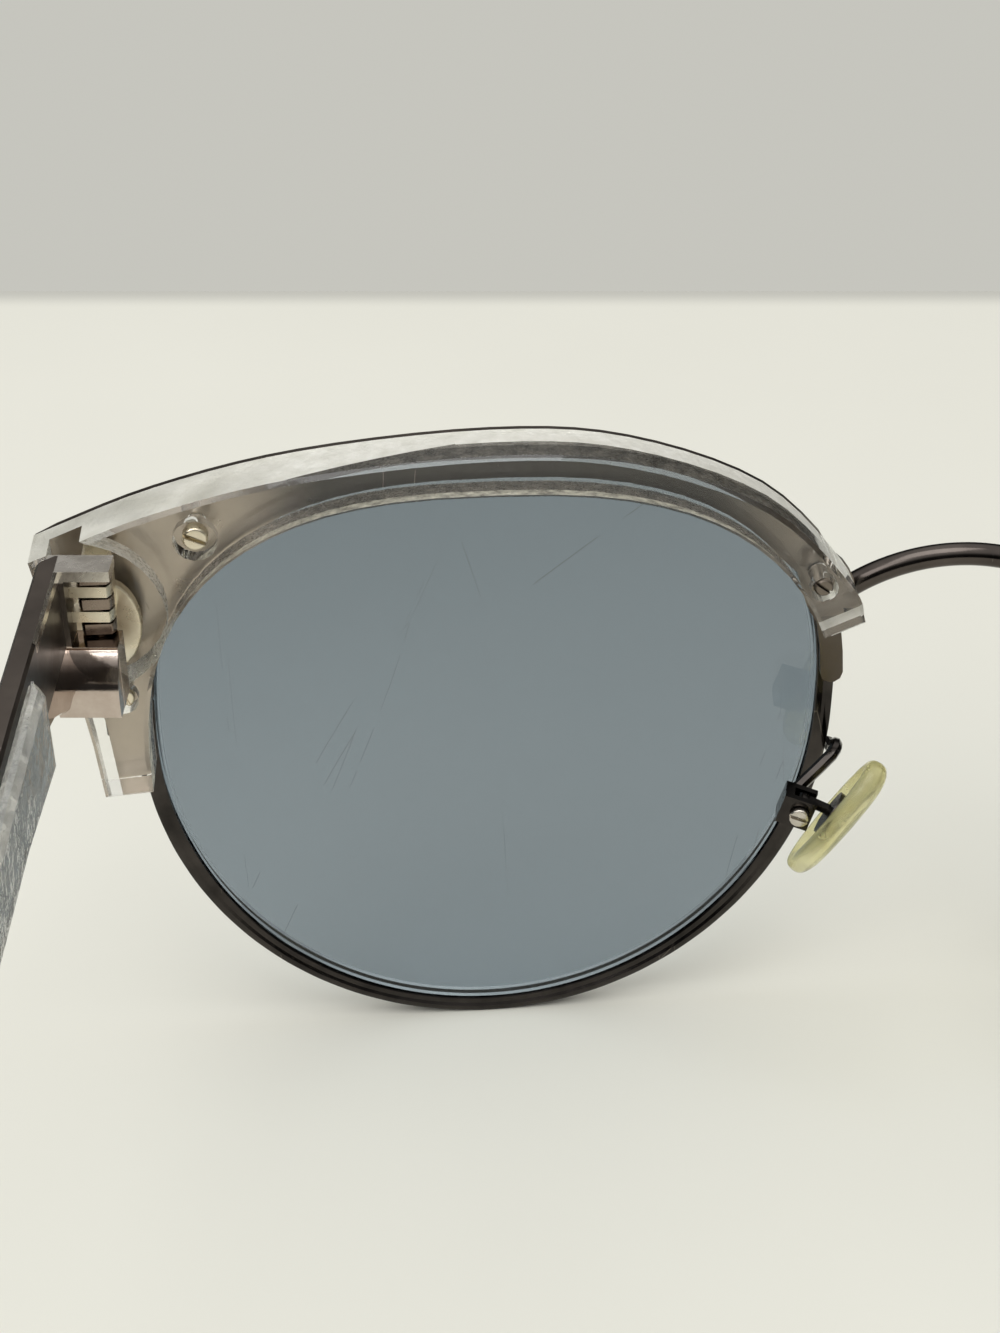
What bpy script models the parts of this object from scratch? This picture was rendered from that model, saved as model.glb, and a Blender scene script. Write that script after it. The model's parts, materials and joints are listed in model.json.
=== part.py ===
# Sunglasses with metal eyewires, clear brow pieces and folding temples.
# Metres, +Z up. The wearer's left is +X, the fronts of the lenses face -Y,
# and the frame stands on its rims and its ear tips at z = 0.
#
# Each half of the front is drawn in its lens frame: x runs from the nose to the temple,
# y runs from the front to the back, and the origin is the middle of the lens opening's widest line.

import math

import bmesh
import bpy
from mathutils import Matrix, Vector

# Lens opening, inside the eyewire
LENS_WIDTH = 0.0500
LENS_RISE = 0.0233
LENS_DROP = 0.0276
RISE_POWER = 2.6
DROP_POWER = 2.0
NOSE_GAP = 0.0204
WRAP = math.radians(4.5)

# Lenses
LENS_THICKNESS = 0.0016
LENS_DOME = 0.0028
LENS_RINGS = (0.2, 0.62)
LENS_TONGUE = 0.00035
TONGUE_THICKNESS = 0.0006

# Eyewires
WIRE_WALL = 0.0013
WIRE_AHEAD = 0.0008
WIRE_BEHIND = 0.0010
WIRE_CHAMFER = 0.0003
GROOVE_DEPTH = 0.00055
GROOVE_WIDTH = 0.0011
CLOSING_HEIGHT = 0.0041
CLOSING_BLOCK = (0.0022, 0.0018)

# Brow pieces
SEAM = 0.00015
PLATE_THICKNESS = 0.0005
PLATE_INSET = 0.0004
CLEAR_THICKNESS = 0.0041
CLEAR_BEVEL = 0.00030
CREST_RISE = 0.0027
CORNER_OUT = 0.0067
CORNER_FALL = 0.0042
NOSE_END_OUT = 0.0018
NOSE_END_FALL = 0.0119
NOSE_END_WIDTH = 0.0013
LUG_DROP = 0.0008
LUG_WIDTH = 0.0035
INNER_LIP = 0.00010
BROW_OVERLAP = 0.0006
TAIL_WIDTH = 0.0018
TAIL_FALL = 0.0190
BROW_CREST = LENS_RISE + CREST_RISE
BROW_CORNER = (LENS_WIDTH / 2 + CORNER_OUT, LENS_RISE - CORNER_FALL)
NOSE_END = (-LENS_WIDTH / 2 - NOSE_END_OUT, LENS_RISE - NOSE_END_FALL)

# Brow screws
SCREW_TOP = (BROW_CORNER[0] - 0.0114, BROW_CORNER[1] + 0.0014)
SCREW_NOSE = (NOSE_END[0] + 0.0033, NOSE_END[1] + 0.0031)
SCREW_LUG = (LENS_WIDTH / 2 + 0.0015, BROW_CORNER[1] - 0.0114)
HEAD_RADIUS_TOP = 0.00090
HEAD_RADIUS_NOSE = 0.00070
HEAD_RADIUS_LUG = 0.00090
HEAD_HEIGHT = 0.0009
HEAD_SINK = 0.00015
RECESS_SPACE_TOP = 0.00065
RECESS_SPACE = 0.00030
SHANK_RADIUS = 0.00055
SCREW_CLEARANCE = 0.00015

# Hinges
POCKET_RADIUS = 0.0062
POCKET_DEPTH = 0.0025
POCKET_CENTRE = (BROW_CORNER[0] - 0.0028, BROW_CORNER[1] - 0.0046)
POCKET_WALL = 0.0013
HINGE_PLATE_HALF = (0.0024, 0.0036)
HINGE_PLATE_FALL = 0.0061
HINGE_PLATE_THICKNESS = 0.0008
AXIS_FROM_CORNER = 0.0046
AXIS_SETBACK = 0.0017
BARREL_RADIUS = 0.0012
BARREL_FLAT = 0.0008
BARREL_FALL = 0.00425
BARREL_PITCH = 0.00098
KNUCKLES = 5
KNUCKLE_GAP = 0.00015
LEAF_HALF_WIDTH = 0.0009
PIN_RADIUS = 0.0005
PIN_CLEARANCE = 0.0001
PIN_HEAD_RADIUS = 0.00085
PIN_HEAD_HEIGHT = 0.0007

# Temples
TEMPLE_LENGTH = 0.145
EAR_LENGTH = 0.052
EAR_RADIUS = 0.018
TEMPLE_SLOPE = math.radians(5.5)
TEMPLE_INWARD = math.radians(1.5)
TEMPLE_LEVEL = 0.012
TEMPLE_EASING = 0.030
STRIP_OUT = 0.0035
STRIP_THICKNESS = 0.0015
STRIP_RISE = 0.0016
STRIP_FALL = 0.0093
STRIP_HEIGHT = 0.0070
STRIP_REAR_HEIGHT = 0.0050
END_BLOCK_LENGTH = 0.0105
WAIST_END = 0.032
REAR_TAPER = (0.035, 0.070)
RETURN_DEPTH = 0.0022
BLOCK_DEPTH = 0.0036
RETURN_INNER = 0.0015
RETURN_FRONT = 0.0001
RETURN_BAR = 0.0008
WINDOW_SIDE = 0.0016
LINING_THICKNESS = 0.0012
LINING_START = 0.0145
SLEEVE_LEAD = 0.013
SLEEVE_HEIGHT = 0.0062
SLEEVE_END_HEIGHT = 0.0082
TIP_ROUNDING = 0.005
CORE_SIZE = (0.0011, 0.0024)
CORE_IN_EAR = 0.014

# Bridge
BRIDGE_RADIUS = 0.0009
BRIDGE_ARC = 0.0139
BRIDGE_FALL = 0.0094

# Nose pads
PAD_LENGTH = 0.0119
PAD_WIDTH = 0.0062
PAD_THICKNESS = 0.0020
PAD_CENTRE = (-LENS_WIDTH / 2 - 0.0002, 0.0100, -0.0030)
PAD_FACE = (-0.88, 0.47, -0.52)
PAD_LONG = (-0.47, 0.20, 0.86)
PAD_SCREW = (PAD_CENTRE[0] + 0.0025, 0.0082, -0.0031)
CLAW_FACE = (-0.93, 0.25, -0.26)
CLAW_HALF = (0.00095, 0.00105, 0.0012)
CLAW_BACK = 0.0015
STEM_THICKNESS = 0.0007
STEM_RADIUS = 0.00065
CORE_PLATE = (0.0017, 0.0040, 0.0007)
PAD_FIT = 0.00015
PAD_SCREW_HEAD = 0.00075
PAD_SCREW_SHANK = 0.0004
ARM_RADIUS = 0.0005
ARM_DROP = 0.0035

# Derived places in the lens frame
TAIL_END = LENS_RISE - TAIL_FALL
AXIS_INSET = BROW_CORNER[0] - AXIS_FROM_CORNER
HINGE_PLATE_HEIGHT = BROW_CORNER[1] - HINGE_PLATE_FALL
BARREL_BOTTOM = BROW_CORNER[1] - BARREL_FALL
STRIP_TOP = BROW_CORNER[1] + STRIP_RISE
STRIP_FRONT_BOTTOM = BROW_CORNER[1] - STRIP_FALL
SLEEVE_START = TEMPLE_LENGTH - EAR_LENGTH - SLEEVE_LEAD
BRIDGE_APEX = LENS_RISE - BRIDGE_FALL
PLATE_FRONT = WIRE_BEHIND + SEAM
PLATE_BACK = PLATE_FRONT + PLATE_THICKNESS
CLEAR_FRONT = PLATE_BACK + SEAM
CLEAR_BACK = CLEAR_FRONT + CLEAR_THICKNESS
POCKET_FLOOR = CLEAR_BACK - POCKET_DEPTH
AXIS = Vector((AXIS_INSET, CLEAR_BACK + AXIS_SETBACK, 0.0))
BARREL_TOP = BARREL_BOTTOM + KNUCKLES * BARREL_PITCH

# Derived places in the whole frame
LENS_X = NOSE_GAP / 2 + LENS_WIDTH / 2 * math.cos(WRAP)
LENS_Z = LENS_DROP + WIRE_WALL

SIDES = (("left", 1), ("right", -1))
OUTLINE_STEPS = 48
ROUND = 14


# Materials

def make_material(name, colour, roughness, metallic=0.0, transmission=0.0):
    material = bpy.data.materials.new(name)
    material.use_nodes = True
    shader = material.node_tree.nodes["Principled BSDF"]
    shader.inputs["Base Color"].default_value = (*colour, 1.0)
    shader.inputs["Roughness"].default_value = roughness
    shader.inputs["Metallic"].default_value = metallic
    shader.inputs["Transmission Weight"].default_value = transmission
    return material


# Meshes from rings of points

def loft(rings):
    """A closed solid through rings with equal point counts, capped at both ends."""
    mesh = bmesh.new()
    rows = [[mesh.verts.new(point) for point in ring] for ring in rings]
    count = len(rows[0])
    for row, following in zip(rows, rows[1:]):
        for i in range(count):
            j = (i + 1) % count
            mesh.faces.new((row[i], row[j], following[j], following[i]))
    mesh.faces.new(rows[0])
    mesh.faces.new(rows[-1])
    bmesh.ops.recalc_face_normals(mesh, faces=mesh.faces)
    return mesh


def turned(start, direction, profile, steps=ROUND):
    """A solid of revolution: profile holds (distance along the direction, radius) pairs."""
    axis = Vector(direction).normalized()
    across = axis.orthogonal().normalized()
    other = axis.cross(across)
    rings = []
    for distance, radius in profile:
        middle = Vector(start) + axis * distance
        ring = []
        for i in range(steps):
            angle = math.tau * i / steps
            ring.append(middle + radius * (math.cos(angle) * across + math.sin(angle) * other))
        rings.append(ring)
    return loft(rings)


def box(low, high):
    """A box between two opposite corners."""
    rings = []
    for z in (low[2], high[2]):
        rings.append([
            Vector((low[0], low[1], z)),
            Vector((high[0], low[1], z)),
            Vector((high[0], high[1], z)),
            Vector((low[0], high[1], z)),
        ])
    return loft(rings)


def upright(outline, low, high):
    """An outline in x and y, raised from one height to another."""
    return loft([[Vector((x, y, z)) for x, y in outline] for z in (low, high)])


def inset(outline, distance):
    """The outline drawn in by a small distance, along the mean normal at each point."""
    area = sum(
        a[0] * b[1] - b[0] * a[1] for a, b in zip(outline, outline[1:] + outline[:1])
    )
    turn = 1.0 if area > 0 else -1.0
    moved = []
    for i, point in enumerate(outline):
        before = Vector(point) - Vector(outline[i - 1])
        after = Vector(outline[(i + 1) % len(outline)]) - Vector(point)
        before.normalize()
        after.normalize()
        mean = before + after
        mean.normalize()
        normal = Vector((-mean.y, mean.x)) * turn
        reach = distance / max(normal.dot(Vector((-before.y, before.x)) * turn), 0.5)
        moved.append((point[0] + normal.x * reach, point[1] + normal.y * reach))
    return moved


def sheet(outline, front, back, bevel=0.0):
    """An outline in x and z with a thickness along y, its rear edge bevelled."""
    levels = [(outline, front), (outline, back - bevel)]
    if bevel:
        levels.append((inset(outline, bevel), back))
    return loft([[Vector((x, y, z)) for x, z in points] for points, y in levels])


def tube(path, radius, steps=12):
    """A round rod along a path of points, with flat ends square to the path."""
    rings = []
    across = None
    for i, point in enumerate(path):
        ahead = path[min(i + 1, len(path) - 1)] - path[max(i - 1, 0)]
        ahead.normalize()
        if across is None:
            across = ahead.orthogonal()
        across = across - ahead * across.dot(ahead)
        across.normalize()
        other = ahead.cross(across)
        ring = []
        for j in range(steps):
            angle = math.tau * j / steps
            ring.append(point + radius * (math.cos(angle) * across + math.sin(angle) * other))
        rings.append(ring)
    return loft(rings)


def through(points, steps):
    """A smooth curve through the given points."""
    points = [Vector(point) for point in points]
    ends = [2 * points[0] - points[1]] + points + [2 * points[-1] - points[-2]]
    curve = []
    for a, b, c, d in zip(ends, ends[1:], ends[2:], ends[3:]):
        for i in range(steps):
            t = i / steps
            curve.append(
                0.5 * (2 * b + (c - a) * t + (2 * a - 5 * b + 4 * c - d) * t * t
                       + (3 * b - a - 3 * c + d) * t ** 3)
            )
    curve.append(points[-1])
    return curve


# Objects and their joints to each other

def add(name, mesh, side, parent, material=None):
    """Puts a mesh drawn for the left side into the scene, mirrored where it is for the right."""
    if side < 0:
        bmesh.ops.transform(mesh, matrix=Matrix.Diagonal((-1, 1, 1, 1)), verts=mesh.verts)
        bmesh.ops.reverse_faces(mesh, faces=mesh.faces)
    data = bpy.data.meshes.new(name)
    mesh.to_mesh(data)
    mesh.free()
    made = bpy.data.objects.new(name, data)
    bpy.context.scene.collection.objects.link(made)
    made.parent = parent
    if material:
        data.materials.append(material)
        data.shade_smooth()
        data.set_sharp_from_angle(angle=math.radians(32))
    else:
        made.hide_render = True
        made.display_type = "WIRE"
    return made


def combine(target, mesh, operation):
    """Adds a solid to a piece, or cuts it out, with a Boolean and a hidden helper."""
    side = -1 if target.name.endswith("_right") else 1
    name = f"{target.name}_{operation.lower()}_{len(target.modifiers)}"
    helper = add(name, mesh, side, target.parent)
    modifier = target.modifiers.new(helper.name, "BOOLEAN")
    modifier.operation = operation
    modifier.solver = "EXACT"
    modifier.object = helper


def join(target, mesh):
    combine(target, mesh, "UNION")


def cut(target, mesh):
    combine(target, mesh, "DIFFERENCE")


def empty(name, location, parent=None, turn=0.0):
    made = bpy.data.objects.new(name, None)
    bpy.context.scene.collection.objects.link(made)
    made.empty_display_size = 0.005
    made.location = location
    made.rotation_euler = (0.0, 0.0, turn)
    made.parent = parent
    return made


def slotted_screw(start, direction, head_radius, head_height, shank_radius, length, slot_along):
    """A screw from its head's face inwards, and the bar that cuts its slot."""
    chamfer = head_height * 0.15
    body = turned(start, direction, (
        (0.0, head_radius - chamfer),
        (chamfer, head_radius),
        (head_height, head_radius),
        (head_height, shank_radius),
        (length, shank_radius),
    ))
    axis = Vector(direction).normalized()
    along = Vector(slot_along).normalized()
    across = axis.cross(along)
    half_slot = head_radius * 0.16
    slot_depth = head_height * 0.45
    corners = []
    for level in (-slot_depth, slot_depth):
        ring = []
        for a, b in ((-1, -1), (1, -1), (1, 1), (-1, 1)):
            ring.append(
                Vector(start) + axis * level + along * a * head_radius * 1.3
                + across * b * half_slot
            )
        corners.append(ring)
    return body, loft(corners)


# Lens opening

def opening(angle, offset=0.0):
    """A point on the lens opening's edge, moved outwards by the offset, in x and z."""
    half = LENS_WIDTH / 2
    if math.sin(angle) >= 0:
        rise, power = LENS_RISE, RISE_POWER
    else:
        rise, power = LENS_DROP, DROP_POWER
    cosine = abs(math.cos(angle)) ** (2 / power)
    sine = abs(math.sin(angle)) ** (2 / power)
    x = math.copysign(half * cosine, math.cos(angle))
    z = math.copysign(rise * sine, math.sin(angle))
    slope_x = math.copysign((abs(x) / half) ** (power - 1) / half, x)
    slope_z = math.copysign((abs(z) / rise) ** (power - 1) / rise, z)
    length = math.hypot(slope_x, slope_z)
    return (x + offset * slope_x / length, z + offset * slope_z / length)


def angle_at(height, temple_side):
    """The opening's angle at a height, on the temple side or the nose side."""
    if height >= 0:
        angle = math.asin(min((height / LENS_RISE) ** (RISE_POWER / 2), 1.0))
    else:
        angle = -math.asin(min((-height / LENS_DROP) ** (DROP_POWER / 2), 1.0))
    return angle if temple_side else math.pi - angle


def opening_run(start, end, offset, steps):
    """The opening's edge between two angles."""
    return [opening(start + (end - start) * i / steps, offset) for i in range(steps + 1)]


# Brow outline

def brow_top(drop=0.0):
    """The brow's upper edge, from the temple corner over the crest to the nose end."""
    corner_x, corner_z = BROW_CORNER
    end_x, end_z = NOSE_END
    temple_rise = BROW_CREST - corner_z
    nose_rise = BROW_CREST - end_z
    knots = (
        (corner_x, corner_z),
        (corner_x * 0.73, corner_z + temple_rise * 0.49),
        (corner_x * 0.41, corner_z + temple_rise * 0.84),
        (0.0, BROW_CREST),
        (end_x * 0.36, end_z + nose_rise * 0.935),
        (end_x * 0.72, end_z + nose_rise * 0.66),
        (end_x * 0.955, end_z + nose_rise * 0.205),
        (end_x, end_z),
    )
    return [(point.x, point.y - drop) for point in through(knots, 5)]


def lug_side():
    """The lug's lower edge and outer side, from the lens opening up to the temple corner."""
    inner_x, inner_z = opening(angle_at(-LUG_DROP, True), INNER_LIP)
    low = (inner_x + LUG_WIDTH, inner_z - 0.0003)
    corner_x, corner_z = BROW_CORNER
    knots = (
        low,
        (low[0] + (corner_x - low[0]) * 0.24, corner_z * 0.33),
        (corner_x - 0.0002, corner_z - 0.0012),
    )
    return [(point.x, point.y) for point in through(knots, 3)]


def brow_outline():
    """The clear brow piece: its top, its nose end, the lens edge and the lug."""
    nose = angle_at(NOSE_END[1] - NOSE_END_WIDTH, False)
    lug = angle_at(-LUG_DROP, True)
    steps = 30
    inner = []
    for i in range(steps + 1):
        t = i / steps
        overlap = BROW_OVERLAP * 6.75 * t * (1 - t) ** 2
        inner.append(opening(nose + (lug - nose) * t, INNER_LIP - overlap))
    return brow_top() + inner + lug_side()


def plate_outline():
    """The metal plate: as the clear piece, with a tail down the nose side of the eyewire."""
    nose_top = angle_at(NOSE_END[1] - 0.0008, False)
    tail = angle_at(TAIL_END, False)
    lug = angle_at(-LUG_DROP, True)
    outer_tail = opening_run(nose_top, tail, TAIL_WIDTH, 4)
    centre = Vector(opening(tail, (TAIL_WIDTH + INNER_LIP) / 2))
    radius = (TAIL_WIDTH - INNER_LIP) / 2
    tip = []
    for i in range(1, 5):
        angle = math.pi + math.pi * i / 5
        tip.append((centre.x + radius * math.cos(angle), centre.y + radius * math.sin(angle)))
    inner = opening_run(tail, lug, INNER_LIP, 34)
    return brow_top(PLATE_INSET) + outer_tail + tip + inner + lug_side()


# Front pieces

def dome(scale):
    """How far the lens stands forward of its edge, at a share of its outline."""
    return LENS_DOME * (1 - scale ** 2)


def make_lens(name, side, parent, material):
    """A domed lens whose thin tongue runs in the eyewire's groove."""
    half = LENS_THICKNESS / 2
    shelf = -SEAM
    tongue = TONGUE_THICKNESS / 2
    rings = []

    def ring(scale, offset, depth):
        points = []
        for i in range(OUTLINE_STEPS):
            x, z = opening(math.tau * i / OUTLINE_STEPS, offset)
            points.append(Vector((x * scale, depth, z * scale)))
        return points

    for scale in LENS_RINGS:
        rings.append(ring(scale, shelf, -half - dome(scale)))
    rings.append(ring(1.0, shelf, -half))
    rings.append(ring(1.0, shelf, -tongue))
    rings.append(ring(1.0, LENS_TONGUE, -tongue / 2))
    rings.append(ring(1.0, LENS_TONGUE, tongue / 2))
    rings.append(ring(1.0, shelf, tongue))
    rings.append(ring(1.0, shelf, half))
    for scale in reversed(LENS_RINGS):
        rings.append(ring(scale, shelf, half - dome(scale)))
    return add(name, loft(rings), side, parent, material)


def make_eyewire(name, side, parent, material):
    """A grooved wire round the lens, split on the temple side, with a closing block."""
    mouth = GROOVE_WIDTH / 2
    section = (
        (0.0, -mouth),
        (GROOVE_DEPTH, -mouth * 0.6),
        (GROOVE_DEPTH, mouth * 0.6),
        (0.0, mouth),
        (0.0, WIRE_BEHIND),
        (WIRE_WALL, WIRE_BEHIND),
        (WIRE_WALL, WIRE_CHAMFER - WIRE_AHEAD),
        (WIRE_WALL - WIRE_CHAMFER, -WIRE_AHEAD),
        (0.0, -WIRE_AHEAD),
    )
    split = angle_at(CLOSING_HEIGHT, True)
    gap = SEAM / LENS_WIDTH * 2
    start = split + gap
    end = split - gap + math.tau
    rings = []
    for i in range(OUTLINE_STEPS + 1):
        angle = start + (end - start) * i / OUTLINE_STEPS
        ring = []
        for offset, depth in section:
            x, z = opening(angle, offset)
            ring.append(Vector((x, depth, z)))
        rings.append(ring)
    wire = add(name, loft(rings), side, parent, material)
    outer = opening(split, WIRE_WALL)[0]
    width, height = CLOSING_BLOCK
    for up in (1, -1):
        near = CLOSING_HEIGHT + up * SEAM
        far = near + up * height
        join(wire, box(
            (outer - WIRE_WALL * 0.5, -WIRE_AHEAD * 0.85, min(near, far)),
            (outer + width, WIRE_BEHIND * 0.85, max(near, far)),
        ))
    top = CLOSING_HEIGHT + SEAM + height
    low = CLOSING_HEIGHT - SEAM - height
    middle = closing_screw_x()
    cut(wire, turned((middle, 0.0, low - 0.001), (0, 0, 1), (
        (0.0, PIN_RADIUS + PIN_CLEARANCE), (top - low + 0.002, PIN_RADIUS + PIN_CLEARANCE),
    )))
    return wire


def closing_screw_x():
    """The closing screw's distance from the middle of the lens."""
    outer = opening(angle_at(CLOSING_HEIGHT, True), WIRE_WALL)[0]
    return outer + CLOSING_BLOCK[0] * 0.5


def make_rim_screw(name, side, parent, material):
    """The screw that draws the two closing blocks together, from below."""
    low = CLOSING_HEIGHT - SEAM - CLOSING_BLOCK[1]
    length = 2 * (CLOSING_BLOCK[1] + SEAM) + PIN_HEAD_HEIGHT
    start = (closing_screw_x(), 0.0, low - PIN_HEAD_HEIGHT - SCREW_CLEARANCE)
    body, slot = slotted_screw(
        start, (0, 0, 1), PIN_HEAD_RADIUS, PIN_HEAD_HEIGHT, PIN_RADIUS, length, (1, 0, 0)
    )
    screw = add(name, body, side, parent, material)
    cut(screw, slot)
    return screw


def brow_screw_places():
    """Each brow screw's name, place, head and recess radius, and the direction of its slot."""
    top, nose, lug = HEAD_RADIUS_TOP, HEAD_RADIUS_NOSE, HEAD_RADIUS_LUG
    return (
        ("top", SCREW_TOP, top, top + RECESS_SPACE_TOP, (0.90, 0, 0.43)),
        ("nose", SCREW_NOSE, nose, nose + RECESS_SPACE, (0.80, 0, 0.60)),
        ("lug", SCREW_LUG, lug, lug + RECESS_SPACE, (0.30, 0, 0.95)),
    )


def make_brow_plate(name, side, parent, material):
    """The thin plate behind the eyewire, with tapped holes for the brow screws."""
    plate = add(name, sheet(plate_outline(), PLATE_FRONT, PLATE_BACK), side, parent, material)
    for _, (x, z), _, _, _ in brow_screw_places():
        cut(plate, turned((x, PLATE_FRONT - 0.001, z), (0, 1, 0), (
            (0.0, SHANK_RADIUS + SCREW_CLEARANCE),
            (PLATE_THICKNESS + 0.002, SHANK_RADIUS + SCREW_CLEARANCE),
        )))
    return plate


def make_clear_brow(name, side, parent, material):
    """The clear block on the plate, with screw recesses and the round hinge pocket."""
    body = sheet(brow_outline(), CLEAR_FRONT, CLEAR_BACK, CLEAR_BEVEL)
    brow = add(name, body, side, parent, material)
    x, z = POCKET_CENTRE
    pocket = turned((x, POCKET_FLOOR, z), (0, 1, 0), (
        (0.0, POCKET_RADIUS), (POCKET_DEPTH + 0.001, POCKET_RADIUS),
    ), 30)
    trim = BROW_CORNER[0] - POCKET_WALL
    bmesh.ops.bisect_plane(
        pocket,
        geom=pocket.verts[:] + pocket.edges[:] + pocket.faces[:],
        plane_co=(trim, 0, 0),
        plane_no=(1, 0, 0),
        clear_outer=True,
    )
    bmesh.ops.holes_fill(pocket, edges=pocket.edges[:])
    bmesh.ops.recalc_face_normals(pocket, faces=pocket.faces[:])
    cut(brow, pocket)
    floor = CLEAR_BACK - HEAD_SINK - HEAD_HEIGHT - SCREW_CLEARANCE
    for _, (x, z), _, recess, _ in brow_screw_places():
        cut(brow, turned((x, CLEAR_FRONT - 0.001, z), (0, 1, 0), (
            (0.0, SHANK_RADIUS + SCREW_CLEARANCE),
            (floor - CLEAR_FRONT + 0.001, SHANK_RADIUS + SCREW_CLEARANCE),
            (floor - CLEAR_FRONT + 0.001, recess),
            (CLEAR_THICKNESS + 0.002, recess),
        )))
    return brow


def make_brow_screws(label, side, parent, material):
    """The three slotted screws that hold the clear piece to its plate, from behind."""
    face = CLEAR_BACK - HEAD_SINK
    for place, (x, z), head, _, slot_along in brow_screw_places():
        body, slot = slotted_screw(
            (x, face, z), (0, -1, 0), head, HEAD_HEIGHT, SHANK_RADIUS,
            face - PLATE_FRONT, slot_along,
        )
        screw = add(f"brow_screw_{place}_{label}", body, side, parent, material)
        cut(screw, slot)


# Hinge

def barrel_outline(turns):
    """The barrel's outline about its axis, flattened at the back, between the given angles."""
    start, end = turns
    steps = 8
    points = []
    for i in range(steps + 1):
        angle = start + (end - start) * i / steps
        points.append((BARREL_RADIUS * math.cos(angle), BARREL_RADIUS * math.sin(angle)))
    return points


def knuckle_span(index):
    """The lower and upper height of one knuckle, counted from the bottom."""
    low = BARREL_BOTTOM + index * BARREL_PITCH + KNUCKLE_GAP / 2
    return low, low + BARREL_PITCH - KNUCKLE_GAP


def make_hinge_plate(name, side, parent, material):
    """The front leaf: an oval foot in the pocket, a standing block and three knuckles."""
    half_x, half_z = HINGE_PLATE_HALF
    front = POCKET_FLOOR + SEAM
    foot = []
    for i in range(24):
        angle = math.tau * i / 24
        foot.append((
            AXIS.x + half_x * math.cos(angle), HINGE_PLATE_HEIGHT + half_z * math.sin(angle),
        ))
    leaf = add(
        name, sheet(foot, front, front + HINGE_PLATE_THICKNESS, 0.0001), side, parent, material
    )
    turning = BARREL_RADIUS + KNUCKLE_GAP
    join(leaf, box(
        (AXIS.x - LEAF_HALF_WIDTH, front + HINGE_PLATE_THICKNESS / 2, BARREL_BOTTOM),
        (AXIS.x + LEAF_HALF_WIDTH, AXIS.y - turning, BARREL_TOP),
    ))
    flat = math.asin(BARREL_FLAT / BARREL_RADIUS)
    web = math.asin(LEAF_HALF_WIDTH / BARREL_RADIUS)
    root = -turning - KNUCKLE_GAP
    outline = barrel_outline((math.pi - flat, 1.5 * math.pi - web))
    outline += [(-LEAF_HALF_WIDTH, root), (LEAF_HALF_WIDTH, root)]
    outline += barrel_outline((web - 0.5 * math.pi, flat))
    outline = [(AXIS.x + x, AXIS.y + y) for x, y in outline]
    for index in range(0, KNUCKLES, 2):
        join(leaf, upright(outline, *knuckle_span(index)))
    cut(leaf, turned((AXIS.x, AXIS.y, BARREL_BOTTOM - 0.001), (0, 0, 1), (
        (0.0, PIN_RADIUS + PIN_CLEARANCE),
        (BARREL_TOP - BARREL_BOTTOM + 0.002, PIN_RADIUS + PIN_CLEARANCE),
    )))
    return leaf


def make_hinge_screw(name, side, parent, material):
    """The hinge's pin, screwed up from the bottom of the temple's end block."""
    start = (0.0, 0.0, STRIP_FRONT_BOTTOM + SCREW_CLEARANCE)
    length = BARREL_TOP - KNUCKLE_GAP - start[2]
    body, slot = slotted_screw(
        start, (0, 0, 1), PIN_HEAD_RADIUS, PIN_HEAD_HEIGHT, PIN_RADIUS, length, (1, 0, 0)
    )
    screw = add(name, body, side, parent, material)
    cut(screw, slot)
    return screw


# Temples, drawn about their hinge axis: x outwards, y to the back

def temple_runs(ear_turn):
    """The temple's line as (length, turn) runs of even curvature."""
    ear_start = TEMPLE_LENGTH - EAR_LENGTH
    turn = ear_turn - TEMPLE_SLOPE
    bend = EAR_RADIUS * turn
    return (
        (TEMPLE_LEVEL, 0.0),
        (TEMPLE_EASING, TEMPLE_SLOPE),
        (ear_start - TEMPLE_LEVEL - TEMPLE_EASING, 0.0),
        (bend, turn),
        (EAR_LENGTH - bend, 0.0),
    )


def temple_line(distance, ear_turn):
    """The place (y, z) and the downward angle of the temple's middle line."""
    y = 0.0
    z = STRIP_TOP - STRIP_HEIGHT / 2
    angle = 0.0
    left = distance
    for length, turn in temple_runs(ear_turn):
        part = min(left, length)
        if turn:
            radius = length / turn
            after = angle + part / radius
            y += radius * (math.sin(after) - math.sin(angle))
            z -= radius * (math.cos(angle) - math.cos(after))
            angle = after
        else:
            y += part * math.cos(angle)
            z -= part * math.sin(angle)
        left -= part
        if left <= 0 and part < length:
            break
    return y, z, angle


def spread(start, end, steps):
    """Evenly spaced distances from the start to the end."""
    return [start + (end - start) * i / steps for i in range(steps + 1)]


def eased(value, start, end):
    """0 before the start, 1 after the end, and a smooth rise between them."""
    t = min(max((value - start) / (end - start), 0.0), 1.0)
    return t * t * (3 - 2 * t)


def temple_ring(distance, ear_turn, inner, outer, low, high, corner, steps=0):
    """A section of the temple: x from inner to outer, height from low to high."""
    y, z, angle = temple_line(distance, ear_turn)
    drift = distance * math.tan(TEMPLE_INWARD)
    ring = []
    if steps:
        half_x = (outer - inner) / 2
        half_z = (high - low) / 2
        for i in range(steps):
            turn = math.tau * (i + 0.5) / steps
            cosine = math.copysign(abs(math.cos(turn)) ** 0.6, math.cos(turn))
            sine = math.copysign(abs(math.sin(turn)) ** 0.6, math.sin(turn))
            ring.append(((inner + outer) / 2 + half_x * cosine, (low + high) / 2 + half_z * sine))
    else:
        ring = [
            (inner + corner, low),
            (outer - corner, low),
            (outer, low + corner),
            (outer, high - corner),
            (outer - corner, high),
            (inner + corner, high),
            (inner, high - corner),
            (inner, low + corner),
        ]
    return [
        Vector((x - drift, y + up * math.sin(angle), z + up * math.cos(angle)))
        for x, up in ring
    ]


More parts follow.
